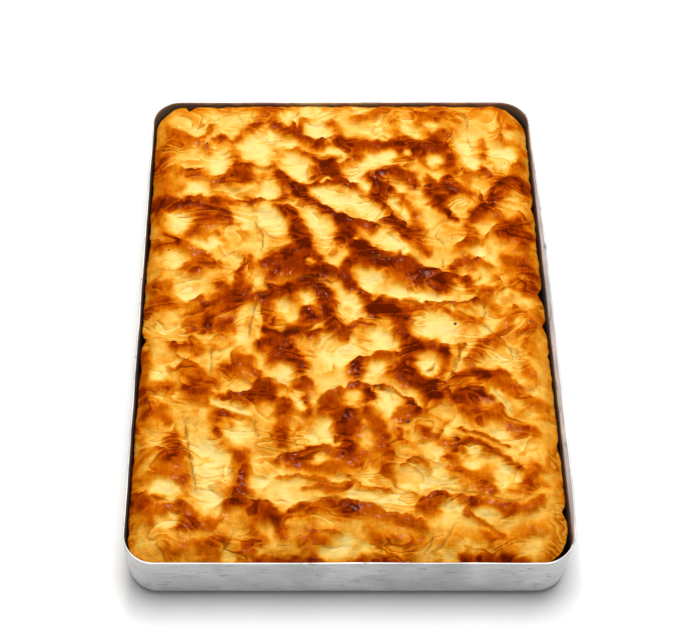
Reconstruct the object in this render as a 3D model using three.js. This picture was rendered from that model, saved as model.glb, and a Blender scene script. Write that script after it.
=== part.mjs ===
// A rectangular filo pie, baked and left uncut in its own aluminium baking tin.
// Millimetres, +Z up. The origin is the centre of the tin's flat underside, X runs along the tin's
// short side and Y along its long side, and the front edge is the one at -Y.

import * as THREE from 'three';

// Tin: one sheet, pressed to a flat floor and four plain walls, with the rim left as cut.
const SHEET = 1.2;
const TIN_WIDTH = 300 + 2 * SHEET;
const TIN_LENGTH = 400 + 2 * SHEET;
const TIN_HEIGHT = 50 + SHEET;
const TIN_CORNER = 22;
const TIN_BASE_ROUND = 7;
const WALL_BOW = 1.2;

// Pie: it has shrunk away from the long walls, and a little further at one front corner.
const SIDE_GAP = 2.6;
const END_GAP = 1.4;
const FLOOR_GAP = 0.3;
const PIE_CORNER = 20;
const PIE_LOOSE_CORNER = 26;
const PIE_BASE_ROUND = 6;
const PIE_EDGE_LEVEL = 41;
const PIE_RIM_DROP = 6.2;
const PIE_SHOULDER = 14;
const CROWN_LEVEL = 49.4;
const CROWN_RISE = 1.8;

// Fineness of the facets.
const CORNER_STEPS = 8;
const ROUND_STEPS = 4;
const LONG_WALL_STEPS = 10;
const SHORT_WALL_STEPS = 4;
const CELL = 8;

// The large folds in the top sheet of pastry. Each runs along the points of its crest, and it is as
// high over the crown, and falls away over as wide a half-width, as its two numbers say.
const FOLDS = [
  { rise: 4.6, half: 13, crest: [[-52, 124], [-24, 98], [4, 70], [22, 50]] },
  { rise: 4.2, half: 12, crest: [[-56, 92], [-38, 76], [-30, 56]] },
  { rise: 5.2, half: 14, crest: [[-58, 36], [-36, 42], [-12, 30]] },
  { rise: 5.4, half: 15, crest: [[18, 42], [46, 32], [74, 24]] },
  { rise: 4.0, half: 12, crest: [[12, 118], [40, 92], [58, 58]] },
  { rise: 4.2, half: 14, crest: [[-92, 10], [-80, -6], [-88, -18]] },
  { rise: 4.8, half: 14, crest: [[-56, 6], [-20, -8], [-14, -20], [22, -20]] },
  { rise: 4.6, half: 12, crest: [[24, 0], [42, -26], [44, -56]] },
  { rise: 4.4, half: 11, crest: [[0, -64], [28, -68], [52, -84]] },
  { rise: 3.8, half: 12, crest: [[66, -74], [92, -76], [118, -104]] },
  { rise: 4.4, half: 13, crest: [[-46, -86], [-20, -92], [-12, -126]] },
  { rise: 4.0, half: 11, crest: [[14, -84], [20, -128]] },
  { rise: 3.8, half: 12, crest: [[-84, -108], [-70, -134], [-76, -152]] },
  { rise: 4.2, half: 13, crest: [[-124, -96], [-122, -138]] },
  { rise: 3.4, half: 9, crest: [[-36, -140], [4, -146], [56, -158]] },
  { rise: 3.2, half: 10, crest: [[56, -104], [78, -124], [92, -146]] },
  { rise: 3.4, half: 9, crest: [[82, -112], [118, -132]] },
  { rise: 4.2, half: 12, crest: [[-140, 96], [-110, 92], [-86, 80]] },
  { rise: 3.4, half: 12, crest: [[-122, 58], [-106, 34], [-118, 8]] },
  { rise: 3.6, half: 12, crest: [[-112, -58], [-108, -80], [-90, -90]] },
  { rise: 3.8, half: 12, crest: [[-48, -34], [-44, -50]] },
  { rise: 3.6, half: 12, crest: [[4, 154], [42, 158], [72, 148]] },
  { rise: 4.0, half: 12, crest: [[76, 156], [72, 118], [76, 98]] },
  { rise: 3.8, half: 13, crest: [[136, 118], [114, 94], [98, 76]] },
  { rise: 3.2, half: 13, crest: [[122, 72], [124, 36], [104, 10]] },
  { rise: 3.2, half: 11, crest: [[110, -32], [84, -50]] },
  { rise: 3.0, half: 11, crest: [[-120, 156], [-104, 170], [-72, 172]] },
  { rise: 3.2, half: 10, crest: [[-46, 168], [-34, 176], [-30, 160], [0, 158]] },
  { rise: 3.4, half: 10, crest: [[-116, 124], [-92, 122], [-78, 132]] },
  { rise: 4.4, half: 13, crest: [[-136, -158], [-108, -166], [-72, -160], [-44, -168], [0, -162], [40, -170]] },
  { rise: 4.2, half: 13, crest: [[46, -166], [68, -154], [104, -168], [132, -160]] },
];

// ---- Rounded rectangles ---------------------------------------------------------------------------

// The corners of a rounded rectangle in the order in which its outline meets them, counterclockwise.
const CORNER_SIGNS = [[1, -1], [1, 1], [-1, 1], [-1, -1]];

// A run of points on a straight side, its first end left out and its last end kept.
function sidePoints(from, to, steps) {
  return Array.from({ length: steps }, (_, k) => from.clone().lerp(to, (k + 1) / steps));
}

// The outline of a rounded rectangle at one level, counterclockwise from above.
function roundedOutline(halfX, halfY, radius, level) {
  const arcs = CORNER_SIGNS.map(([signX, signY], corner) => {
    const centre = new THREE.Vector3(signX * (halfX - radius), signY * (halfY - radius), level);
    const start = (corner - 1) * Math.PI / 2;
    return Array.from({ length: CORNER_STEPS + 1 }, (_, k) => {
      const angle = start + (k / CORNER_STEPS) * Math.PI / 2;
      const spoke = new THREE.Vector3(Math.cos(angle), Math.sin(angle), 0);
      return spoke.multiplyScalar(radius).add(centre);
    });
  });
  return arcs.flatMap((arc, corner) => {
    const next = arcs[(corner + 1) % arcs.length][0];
    const steps = corner % 2 === 0 ? LONG_WALL_STEPS : SHORT_WALL_STEPS;
    return [...arc, ...sidePoints(arc.at(-1), next, steps).slice(0, -1)];
  });
}

// ---- Closed skins ---------------------------------------------------------------------------------

// A closed body between a stack of outlines, each with as many points, joined by bands and shut at
// both ends by flat faces. Outlines run counterclockwise about the way that the stack goes.
function stackedBody(outlines) {
  const points = outlines.flat();
  const count = outlines[0].length;
  const faces = [];
  for (let level = 0; level + 1 < outlines.length; level += 1) {
    for (let k = 0; k < count; k += 1) {
      const a = level * count + k;
      const b = level * count + (k + 1) % count;
      faces.push([a, b, b + count], [a, b + count, a + count]);
    }
  }
  const flat = (outline) => outline.map((point) => new THREE.Vector2(point.x, point.y));
  const first = THREE.ShapeUtils.triangulateShape(flat(outlines[0]), []);
  const last = THREE.ShapeUtils.triangulateShape(flat(outlines.at(-1)), []);
  const offset = (outlines.length - 1) * count;
  faces.push(...first.map(([a, b, c]) => [a, c, b]));
  faces.push(...last.map(([a, b, c]) => [a + offset, b + offset, c + offset]));
  return skin(points, faces);
}

// A geometry from shared points and the triangles between them.
function skin(points, faces) {
  const geometry = new THREE.BufferGeometry();
  const places = points.flatMap((point) => [point.x, point.y, point.z]);
  geometry.setAttribute('position', new THREE.Float32BufferAttribute(places, 3));
  geometry.setIndex(faces.flat());
  geometry.computeVertexNormals();
  return geometry;
}

// ---- Tin ------------------------------------------------------------------------------------------

// One outline of the tin, so far in from its outer face. The long walls lean in a little at mid-length,
// most at the rim and not at all at the floor.
function tinOutline(inset, level) {
  const halfX = TIN_WIDTH / 2 - inset;
  const halfY = TIN_LENGTH / 2 - inset;
  const radius = TIN_CORNER - Math.min(inset, SHEET) - Math.max(0, inset - SHEET) / 2;
  const straight = TIN_LENGTH / 2 - TIN_CORNER;
  return roundedOutline(halfX, halfY, radius, level).map((point) => {
    const along = Math.min(1, Math.abs(point.y) / straight);
    const bow = WALL_BOW * (1 - along * along) * level / TIN_HEIGHT;
    return point.setX(point.x - Math.sign(point.x) * bow * Math.abs(point.x) / halfX);
  });
}

// The rounding between wall and floor, from the floor up: how far in, and at what level.
function baseRound(radius, inset, level) {
  return Array.from({ length: ROUND_STEPS + 1 }, (_, k) => {
    const angle = (k / ROUND_STEPS) * Math.PI / 2;
    return { inset: inset + radius * (1 - Math.sin(angle)), level: level + radius * (1 - Math.cos(angle)) };
  });
}

function tinGeometry() {
  const outside = baseRound(TIN_BASE_ROUND, 0, 0);
  const inside = baseRound(TIN_BASE_ROUND - SHEET, SHEET, SHEET);
  const profile = [
    ...outside,
    { inset: 0, level: TIN_HEIGHT },
    { inset: SHEET, level: TIN_HEIGHT },
    ...inside.reverse(),
  ];
  return stackedBody(profile.map(({ inset, level }) => tinOutline(inset, level)));
}

// ---- Pie ------------------------------------------------------------------------------------------

const PIE_HALF_X = TIN_WIDTH / 2 - SHEET - SIDE_GAP;
const PIE_HALF_Y = TIN_LENGTH / 2 - SHEET - END_GAP;

// How far the pie reaches to one side, in a row across it.
function pieReach(side, y) {
  const radius = side > 0 && y < 0 ? PIE_LOOSE_CORNER : PIE_CORNER;
  const past = Math.max(0, Math.abs(y) - (PIE_HALF_Y - radius));
  return PIE_HALF_X - radius + Math.sqrt(Math.max(0, radius * radius - past * past));
}

// The rows across the pie, closer together where its corners turn.
function pieRows() {
  const straight = PIE_HALF_Y - PIE_LOOSE_CORNER;
  const middle = Math.ceil(2 * straight / CELL);
  const turn = Array.from({ length: CORNER_STEPS }, (_, k) => {
    return straight + PIE_LOOSE_CORNER * Math.sin(((k + 1) / CORNER_STEPS) * Math.PI / 2);
  });
  const between = Array.from({ length: middle + 1 }, (_, k) => -straight + (2 * straight * k) / middle);
  return [...turn.map((y) => -y).reverse(), ...between, ...turn];
}

// Zero at and beyond the reach, one at the middle, level at both.
function swell(distance, reach) {
  const share = Math.max(0, 1 - (distance / reach) ** 2);
  return share * share;
}

// How far a place is from the crest of a fold.
function crestDistance(x, y, crest) {
  const place = new THREE.Vector3(x, y, 0);
  const nearest = new THREE.Vector3();
  const line = new THREE.Line3();
  return crest.slice(1).reduce((least, end, k) => {
    line.set(new THREE.Vector3(...crest[k], 0), new THREE.Vector3(...end, 0));
    line.closestPointToPoint(place, true, nearest);
    return Math.min(least, nearest.distanceTo(place));
  }, Infinity);
}

// The pastry's level: a low crown, the folds on it, and a shoulder that rolls down to the walls.
function pieLevel(x, y, edge) {
  const crown = CROWN_LEVEL + CROWN_RISE * (1 - (x / PIE_HALF_X) ** 2) * (1 - (y / PIE_HALF_Y) ** 2);
  const fold = FOLDS.reduce((most, { rise, half, crest }) => {
    return Math.max(most, rise * swell(crestDistance(x, y, crest), 1.5 * half));
  }, 0);
  const fall = Math.max(0, 1 - edge / PIE_SHOULDER) ** 2;
  return crown + fold * (1 - fall) - PIE_RIM_DROP * fall;
}

// How far a place on the pie is from its outline, near enough for the shoulder.
function edgeDistance(x, y) {
  const sides = Math.max(0, pieReach(Math.sign(x), y) - Math.abs(x));
  const ends = Math.max(0, PIE_HALF_Y - Math.abs(y));
  return Math.min(sides, ends);
}

function pieGeometry() {
  const rows = pieRows();
  const columns = Math.ceil(2 * PIE_HALF_X / CELL);
  const top = rows.map((y) => Array.from({ length: columns + 1 }, (_, k) => {
    const left = -pieReach(-1, y);
    const x = left + (pieReach(1, y) - left) * k / columns;
    return new THREE.Vector3(x, y, pieLevel(x, y, edgeDistance(x, y)));
  }));
  const across = columns + 1;
  const last = rows.length - 1;
  const points = top.flat();
  const faces = [];
  for (let row = 0; row < last; row += 1) {
    for (let column = 0; column < columns; column += 1) {
      const a = row * across + column;
      faces.push([a, a + 1, a + across + 1], [a, a + across + 1, a + across]);
    }
  }
  // Counterclockwise round the edge of the top: front, right, back, left.
  const border = [
    ...Array.from({ length: columns }, (_, k) => k),
    ...Array.from({ length: last }, (_, k) => k * across + columns),
    ...Array.from({ length: columns }, (_, k) => last * across + columns - k),
    ...Array.from({ length: last }, (_, k) => (last - k) * across),
  ];
  // The side of the pie below that edge, down to the rounding that sits in the tin's own.
  const profile = [
    { inset: 0, level: PIE_EDGE_LEVEL },
    ...baseRound(PIE_BASE_ROUND, 0, SHEET + FLOOR_GAP).reverse(),
  ];
  const lower = profile.map(({ inset, level }) => border.map((index) => {
    const { x, y } = points[index];
    return new THREE.Vector3(x * (1 - inset / PIE_HALF_X), y * (1 - inset / PIE_HALF_Y), level);
  }));
  const count = border.length;
  const loops = [border, ...lower.map((loop, k) => loop.map((_, j) => points.length + k * count + j))];
  points.push(...lower.flat());
  for (let level = 0; level + 1 < loops.length; level += 1) {
    for (let k = 0; k < count; k += 1) {
      const next = (k + 1) % count;
      const [a, b] = [loops[level][k], loops[level][next]];
      const [c, d] = [loops[level + 1][k], loops[level + 1][next]];
      faces.push([a, c, d], [a, d, b]);
    }
  }
  const floor = loops.at(-1);
  const outline = floor.map((index) => new THREE.Vector2(points[index].x, points[index].y));
  const base = THREE.ShapeUtils.triangulateShape(outline, []);
  faces.push(...base.map(([a, b, c]) => [floor[a], floor[c], floor[b]]));
  return skin(points, faces);
}

// ---- The part -------------------------------------------------------------------------------------

function piece(name, geometry, colour, roughness, metalness) {
  const mesh = new THREE.Mesh(geometry, new THREE.MeshStandardMaterial({ color: colour, roughness, metalness }));
  mesh.name = name;
  return mesh;
}

const pieInTin = new THREE.Group();
pieInTin.add(piece('tin', tinGeometry(), 0xb4b3b1, 0.42, 1));
pieInTin.add(piece('pie', pieGeometry(), 0xd98f34, 0.45, 0));

export default pieInTin;
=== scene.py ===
"""An uncut filo pie in the aluminium tin that it was baked in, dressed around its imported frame.

Lengths in the sizes and lists are millimetres, and a place on the pie is given about its middle, with x
to the right and y towards the back. Everything handed to Blender is in metres, in the frame's own axes.
"""

import logging
import math
from dataclasses import dataclass, field
from enum import Enum
from typing import Callable, Iterable, Sequence

import bpy
import numpy as np
from mathutils import Euler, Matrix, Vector


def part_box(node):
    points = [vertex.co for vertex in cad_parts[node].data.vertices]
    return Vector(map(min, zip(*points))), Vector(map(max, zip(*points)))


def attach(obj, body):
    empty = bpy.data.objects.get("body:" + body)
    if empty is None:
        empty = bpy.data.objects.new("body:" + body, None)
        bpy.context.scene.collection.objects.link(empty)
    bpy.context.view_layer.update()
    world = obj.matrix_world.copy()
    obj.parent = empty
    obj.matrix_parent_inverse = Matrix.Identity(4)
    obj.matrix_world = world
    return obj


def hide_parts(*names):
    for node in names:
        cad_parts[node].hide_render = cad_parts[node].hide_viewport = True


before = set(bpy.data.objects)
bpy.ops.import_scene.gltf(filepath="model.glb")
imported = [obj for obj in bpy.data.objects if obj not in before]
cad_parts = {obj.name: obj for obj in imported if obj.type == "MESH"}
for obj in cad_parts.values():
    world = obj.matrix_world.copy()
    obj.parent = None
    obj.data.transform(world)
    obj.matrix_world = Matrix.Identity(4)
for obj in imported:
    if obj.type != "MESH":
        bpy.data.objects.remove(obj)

MM = 0.001
# How near a plane something counts as lying on it, in metres.
HAIR = 1e-5
BODY = "root"
log = logging.getLogger("filo_pie")

Place = tuple[float, float]
WidePlace = tuple[float, float, float]


# ---- Shapes in the pastry -----------------------------------------------------------------------------


class Steep(Enum):
    """The side of a fold that drops away at once, seen along its crest."""

    NEITHER = 0
    LEFT = 1
    RIGHT = -1


@dataclass(frozen=True)
class Fold:
    """A raised and browned fold of pastry.

    Attributes:
        browned: How brown its crest is, from 0 for raw to 1 for scorched.
        rise: How far its crest stands over the pie, mm.
        crest: The places that its crest runs through, each (x, y, half-width), mm.
        steep: The side that drops away at once.
    """

    browned: float
    rise: float
    crest: tuple[WidePlace, ...]
    steep: Steep = Steep.NEITHER


@dataclass(frozen=True)
class Hollow:
    """A pale hollow between folds, as wide along its places (x, y, half-width), mm, as they say."""

    paleness: float
    places: tuple[WidePlace, ...]


@dataclass(frozen=True)
class Lip:
    """The free edge of a sheet of filo that lies over the one beside it.

    Attributes:
        step: How far the sheet to the left of the line stands over the other, mm.
        reach: How far back from the edge the sheet is still raised, mm.
        line: The places that the edge runs through, mm.
    """

    step: float
    reach: float
    line: tuple[Place, ...]


@dataclass(frozen=True)
class Crease:
    """A thin crease, as deep as it says, mm, through its places."""

    depth: float
    line: tuple[Place, ...]


@dataclass(frozen=True)
class Notch:
    """A bay in the pie's edge.

    Attributes:
        place: Where on the edge it lies, mm.
        depth: How far it goes in, mm.
        half_length: Half its length along the edge, mm.
    """

    place: Place
    depth: float
    half_length: float


# The folds, each with how brown and how high it is, and its crest.
FOLDS = (
    Fold(0.55, 2, ((-146, 150, 6), (-141, 132, 8), (-134, 117, 7), (-128, 108, 5))),
    Fold(0.8, 3, ((-142, 97, 7), (-131, 92, 8), (-121, 96, 5))),
    Fold(0.5, 2, ((-138, 171, 4), (-133, 157, 4), (-121, 153, 4), (-111, 164, 4), (-104, 172, 4))),
    Fold(0.6, 2, ((-128, 164, 5), (-124, 162, 5))),
    Fold(0.45, 1, ((-107, 151, 5), (-104, 147, 4))),
    Fold(
        0.65,
        3,
        ((-124, 127, 4), (-112, 122, 6), (-104, 119, 6), (-97, 117, 5), (-84, 119, 5), (-76, 118, 5)),
    ),
    Fold(0.7, 3, ((-84, 132, 5), (-78, 126, 6), (-76, 119, 5))),
    Fold(0.7, 3, ((-119, 98, 4), (-107, 92, 7), (-97, 90, 6), (-91, 84, 5))),
    Fold(0.72, 2, ((-96, 99, 4), (-84, 97, 4), (-71, 96, 4), (-58, 100, 4), (-46, 100, 3))),
    Fold(0.45, 2, ((-140, 86, 4), (-136, 73, 5))),
    Fold(0.55, 2, ((-118, 84, 4), (-115, 74, 4), (-118, 65, 4))),
    Fold(0.65, 3, ((-80, 77, 3), (-94, 79, 5), (-108, 78, 5), (-120, 68, 6))),
    Fold(0.5, 2, ((-59, 196, 6), (-61, 185, 7), (-55, 176, 6))),
    Fold(0.7, 3, ((-52, 171, 5), (-44, 166, 7), (-37, 166, 5), (-35, 174, 4))),
    Fold(0.6, 2, ((-33, 181, 3), (-20, 177, 3), (-8, 179, 3))),
    Fold(0.65, 3, ((-47, 160, 3), (-32, 161, 5), (-18, 156, 4), (0, 157, 5))),
    Fold(0.6, 1, ((-17, 156, 3), (-17, 150, 3))),
    Fold(0.5, 2, ((-34, 172, 4), (-30, 163, 4))),
    Fold(0.5, 2, ((-6, 174, 4), (-2, 164, 5))),
    Fold(0.7, 3, ((-43, 152, 3), (-32, 144, 4), (-20, 137, 4), (-8, 133, 4))),
    Fold(0.9, 4, ((-24, 128, 4), (-14, 128, 8), (-6, 124, 7))),
    Fold(0.65, 2, ((-54, 134, 3), (-52, 126, 4), (-50, 121, 4))),
    Fold(0.85, 4, ((-50, 122, 3), (-42, 113, 6), (-34, 109, 8), (-27, 111, 6), (-20, 115, 4))),
    Fold(0.85, 3, ((-20, 115, 3), (-8, 115, 5), (4, 112, 5))),
    Fold(0.85, 4, ((-34, 109, 6), (-26, 99, 6), (-19, 90, 4), (-12, 88, 4))),
    Fold(0.9, 4, ((-12, 88, 4), (-3, 78, 6), (4, 67, 7))),
    Fold(0.9, 4, ((-52, 92, 2), (-44, 89, 4), (-39, 81, 6), (-36, 71, 6))),
    Fold(0.6, 2, ((-78, 168, 5), (-72, 171, 4), (-67, 177, 4))),
    Fold(0.5, 1, ((-100, 160, 3), (-80, 159, 3))),
    Fold(0.5, 1, ((-87, 152, 3), (-82, 138, 4))),
    Fold(0.55, 2, ((12, 181, 4), (24, 184, 5), (32, 192, 5))),
    Fold(0.85, 3, ((0, 156, 5), (6, 153, 7), (20, 152, 6), (35, 153, 6), (44, 158, 5))),
    Fold(0.8, 3, ((34, 152, 6), (46, 152, 6), (60, 147, 6))),
    Fold(0.65, 2, ((0, 136, 5), (8, 137, 4), (16, 141, 3))),
    Fold(0.6, 2, ((60, 186, 4), (68, 183, 5), (78, 184, 4))),
    Fold(0.7, 2, ((62, 178, 3), (65, 170, 3), (72, 167, 5), (78, 160, 6))),
    Fold(0.35, 2, ((80, 195, 5), (80, 180, 5), (78, 168, 5))),
    Fold(0.35, 1, ((48, 167, 4), (44, 160, 5))),
    Fold(0.6, 2, ((56, 160, 5), (66, 155, 6), (74, 156, 6))),
    Fold(0.75, 3, ((60, 148, 5), (72, 147, 5), (80, 150, 4))),
    Fold(0.7, 2, ((62, 146, 4), (63, 138, 3), (66, 133, 3), (72, 131, 3), (80, 133, 4), (85, 138, 5))),
    Fold(0.6, 2, ((84, 150, 5), (85, 138, 5), (86, 128, 5), (82, 120, 6))),
    Fold(0.85, 4, ((17, 124, 3), (28, 124, 5), (40, 127, 6), (50, 120, 7), (57, 114, 4))),
    Fold(0.85, 3, ((24, 117, 4), (32, 108, 7), (28, 101, 4))),
    Fold(0.8, 3, ((8, 116, 3), (14, 104, 3), (24, 100, 4))),
    Fold(0.6, 2, ((45, 100, 4), (52, 90, 5), (56, 78, 4), (60, 68, 4))),
    Fold(0.75, 3, ((30, 98, 3), (34, 88, 4), (38, 78, 7), (46, 68, 7))),
    Fold(0.9, 3, ((-2, 78, 4), (10, 74, 5), (20, 73, 5), (27, 68, 5)), Steep.LEFT),
    Fold(0.85, 4, ((68, 118, 4), (70, 108, 7), (78, 112, 7), (84, 106, 5), (74, 98, 6))),
    Fold(0.6, 2, ((72, 100, 5), (64, 95, 2))),
    Fold(0.65, 2, ((69, 92, 2), (78, 86, 3), (86, 81, 3))),
    Fold(0.6, 2, ((90, 106, 5), (98, 103, 4), (104, 104, 2))),
    Fold(0.55, 3, ((97, 120, 5), (103, 125, 4), (116, 128, 5), (126, 132, 5), (138, 133, 4))),
    Fold(0.6, 3, ((102, 80, 4), (110, 90, 7), (118, 104, 6), (128, 118, 5))),
    Fold(0.6, 2, ((126, 113, 4), (136, 117, 6), (146, 112, 6))),
    Fold(0.6, 2, ((128, 158, 3), (138, 153, 5), (146, 150, 4))),
    Fold(0.45, 1, ((112, 160, 2), (114, 148, 3), (116, 138, 4))),
    Fold(0.45, 1, ((130, 192, 5), (134, 176, 6))),
    Fold(0.25, 1, ((86, 190, 5), (88, 180, 4))),
    Fold(0.55, 2, ((120, 65, 6), (130, 72, 8), (138, 80, 5))),
    Fold(0.55, 1, ((94, 72, 3), (98, 68, 4))),
    Fold(0.55, 2, ((-108, 68, 4), (-98, 66, 5), (-93, 61, 3))),
    Fold(0.6, 2, ((-140, 58, 5), (-130, 56, 5))),
    Fold(0.65, 3, ((-124, 58, 4), (-118, 50, 6), (-108, 47, 6), (-102, 50, 4))),
    Fold(0.65, 3, ((-118, 35, 4), (-110, 33, 6), (-104, 38, 6), (-96, 38, 4))),
    Fold(0.5, 2, ((-144, 20, 5), (-134, 14, 7), (-132, 6, 5))),
    Fold(0.5, 2, ((-146, 0, 6), (-130, 2, 6), (-118, 4, 5), (-108, 6, 4))),
    Fold(0.75, 2, ((-76, 40, 2.5), (-77, 30, 3), (-78, 20, 4))),
    Fold(0.6, 2, ((-69, 41, 2.5), (-68, 32, 3))),
    Fold(0.8, 4, ((-92, 18, 3), (-88, 12, 5), (-80, 8, 8), (-72, 8, 7), (-66, 10, 4))),
    Fold(0.75, 3, ((-102, 1, 4), (-90, 3, 7), (-80, 4, 7))),
    Fold(0.7, 3, ((-98, -14, 6), (-86, -17, 8), (-78, -16, 6))),
    Fold(0.6, 2, ((-112, -19, 3), (-100, -19, 4))),
    Fold(0.95, 5, ((-60, 37, 4), (-50, 37, 8), (-38, 36, 10), (-26, 32, 10), (-14, 30, 7), (-8, 29, 4))),
    Fold(0.9, 4, ((-36, 70, 5), (-30, 58, 6), (-28, 50, 6), (-24, 44, 5))),
    Fold(0.85, 3, ((-38, 48, 5), (-40, 44, 5))),
    Fold(0.85, 4, ((-60, 8, 4), (-50, 10, 7), (-40, 13, 6)), Steep.LEFT),
    Fold(0.85, 3, ((-40, 16, 4), (-28, 18, 5), (-20, 15, 6), (-13, 12, 6))),
    Fold(0.7, 2, ((-59, 5, 4), (-56, -8, 5), (-54, -18, 5)), Steep.RIGHT),
    Fold(0.9, 3, ((-56, -22, 3), (-44, -23, 3), (-30, -23, 4), (-15, -24, 4), (2, -26, 3))),
    Fold(0.9, 3, ((-28, -6, 7), (-28, -12, 7))),
    Fold(0.85, 3, ((-17, 14, 5), (-13, 0, 6), (-14, -10, 5), (-8, -16, 5))),
    Fold(0.9, 4, ((-60, -34, 5), (-50, -30, 7), (-44, -38, 9), (-50, -45, 6), (-36, -46, 6), (-32, -54, 5))),
    Fold(0.75, 3, ((-84, -55, 4), (-76, -52, 8), (-70, -46, 4), (-66, -56, 4), (-62, -60, 3))),
    Fold(0.6, 2, ((-122, -34, 4), (-113, -34, 6), (-105, -36, 4))),
    Fold(0.6, 3, ((-118, -52, 3), (-108, -55, 8), (-104, -64, 9), (-94, -66, 4))),
    Fold(0.6, 2, ((-130, -66, 6), (-124, -68, 5))),
    Fold(0.95, 4, ((0, 62, 6), (10, 56, 5), (16, 50, 5))),
    Fold(0.9, 4, ((8, 50, 5), (16, 44, 8), (30, 44, 7), (42, 44, 6))),
    Fold(0.7, 3, ((46, 70, 7), (54, 60, 6), (60, 52, 5), (63, 48, 3))),
    Fold(0.9, 3, ((4, 38, 5), (2, 28, 6), (5, 20, 5))),
    Fold(
        0.9,
        5,
        ((18, 40, 6), (34, 34, 9), (48, 30, 11), (60, 26, 10), (72, 22, 7), (76, 26, 4)),
        Steep.LEFT,
    ),
    Fold(0.8, 1, ((70, 15, 4), (74, 14, 4))),
    Fold(
        0.7,
        3,
        ((24, 2, 3), (32, 7, 4), (40, 5, 4), (55, 3, 2), (70, 3, 3), (90, 3, 2), (97, 5, 1.5)),
        Steep.LEFT,
    ),
    Fold(0.85, 3, ((24, -2, 6), (32, -4, 6))),
    Fold(0.85, 3, ((4, 18, 4), (12, 10, 5), (18, 2, 5), (22, -6, 4))),
    Fold(0.7, 2, ((0, -20, 3), (10, -14, 3), (20, -17, 2))),
    Fold(0.9, 4, ((36, -2, 6), (41, -12, 7), (43, -24, 7), (48, -34, 6))),
    Fold(0.6, 2, ((44, -4, 4), (60, -3, 4), (74, -4, 3))),
    Fold(0.55, 2, ((78, -5, 3), (88, -11, 5), (97, -14, 5), (100, -8, 3))),
    Fold(0.9, 3, ((50, -34, 5), (58, -33, 5), (68, -36, 4), (72, -42, 4))),
    Fold(0.75, 3, ((72, -42, 4), (70, -52, 5), (64, -60, 5), (58, -68, 6))),
    Fold(0.75, 3, ((44, -40, 4), (47, -52, 5), (50, -64, 6))),
    Fold(0.85, 3, ((8, -46, 4), (16, -47, 5), (28, -42, 5), (36, -40, 4)), Steep.LEFT),
    Fold(0.85, 3, ((6, -50, 5), (8, -58, 5))),
    Fold(0.7, 3, ((38, -54, 7), (42, -64, 6))),
    Fold(0.6, 3, ((84, 36, 4), (94, 38, 6), (103, 40, 4), (110, 36, 3))),
    Fold(0.6, 2, ((80, 28, 3), (88, 24, 3), (94, 17, 4))),
    Fold(0.55, 2, ((102, 17, 3), (110, 14, 4))),
    Fold(0.45, 2, ((128, 66, 9), (132, 48, 9), (124, 34, 8))),
    Fold(0.6, 3, ((108, -28, 4), (100, -32, 6), (94, -38, 5), (88, -46, 4))),
    Fold(0.6, 2, ((80, -56, 3), (90, -55, 4), (104, -55, 4), (112, -54, 3))),
    Fold(0.45, 2, ((136, -20, 6), (134, -34, 7))),
    Fold(0.5, 2, ((128, -54, 5), (132, -60, 5))),
    Fold(0.6, 3, ((-112, -72, 6), (-102, -76, 7), (-96, -80, 5))),
    Fold(0.65, 3, ((-138, -88, 7), (-130, -90, 7), (-125, -95, 4))),
    Fold(0.65, 2, ((-90, -92, 6), (-80, -93, 5), (-70, -95, 3))),
    Fold(0.75, 2, ((-88, -76, 3), (-78, -76, 4), (-68, -77, 3))),
    Fold(0.6, 2, ((-92, -104, 3), (-84, -112, 4), (-76, -117, 5), (-70, -122, 5))),
    Fold(0.8, 3, ((-62, -76, 5), (-54, -74, 6))),
    Fold(0.85, 3, ((-58, -68, 6), (-44, -68, 5), (-30, -67, 7)), Steep.LEFT),
    Fold(0.75, 4, ((-46, -84, 6), (-44, -94, 7), (-45, -104, 6), (-46, -114, 4))),
    Fold(0.7, 2, ((-28, -78, 3), (-27, -90, 3))),
    Fold(0.8, 3, ((-18, -88, 4), (-14, -78, 6), (-6, -72, 6)), Steep.LEFT),
    Fold(0.8, 3, ((-8, -82, 6), (-4, -95, 7), (-2, -104, 6))),
    Fold(0.75, 2, ((-46, -125, 4), (-34, -124, 5), (-20, -119, 5), (-8, -117, 5), (0, -115, 6)), Steep.LEFT),
    Fold(0.65, 3, ((-40, -126, 4), (-26, -131, 4), (-16, -134, 4), (0, -128, 8))),
    Fold(0.65, 4, ((-121, -106, 4), (-122, -116, 6), (-124, -128, 7), (-128, -136, 8), (-114, -140, 4))),
    Fold(0.5, 2, ((-117, -118, 4), (-113, -132, 4), (-110, -144, 3))),
    Fold(0.7, 4, ((-74, -124, 5), (-74, -134, 7), (-74, -146, 7), (-74, -154, 5))),
    Fold(0.5, 2, ((-146, -152, 4), (-134, -154, 3), (-126, -155, 3))),
    Fold(
        0.65,
        4,
        ((-150, -158, 5), (-140, -160, 5), (-128, -165, 6), (-112, -162, 6), (-104, -168, 5)),
        Steep.LEFT,
    ),
    Fold(0.65, 3, ((-118, -177, 2), (-108, -174, 4), (-98, -175, 4), (-88, -170, 4)), Steep.RIGHT),
    Fold(0.75, 4, ((-84, -160, 5), (-76, -159, 4), (-64, -160, 5), (-54, -163, 6)), Steep.LEFT),
    Fold(0.65, 3, ((-58, -167, 5), (-48, -170, 5), (-44, -180, 4))),
    Fold(0.7, 4, ((-40, -166, 4), (-30, -163, 5), (-18, -161, 5), (-6, -161, 6), (0, -162, 6)), Steep.LEFT),
    Fold(0.6, 2, ((-48, -137, 2), (-34, -138, 2), (-20, -141, 3), (-6, -143, 3), (0, -144, 3)), Steep.LEFT),
    Fold(0.6, 2, ((-30, -147, 2), (-16, -147, 3), (0, -147, 3)), Steep.LEFT),
    Fold(0.35, 2, ((-80, -170, 6), (-66, -172, 6))),
    Fold(0.85, 3, ((4, -68, 4), (12, -68, 5), (18, -75, 4), (12, -80, 3)), Steep.LEFT),
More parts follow.
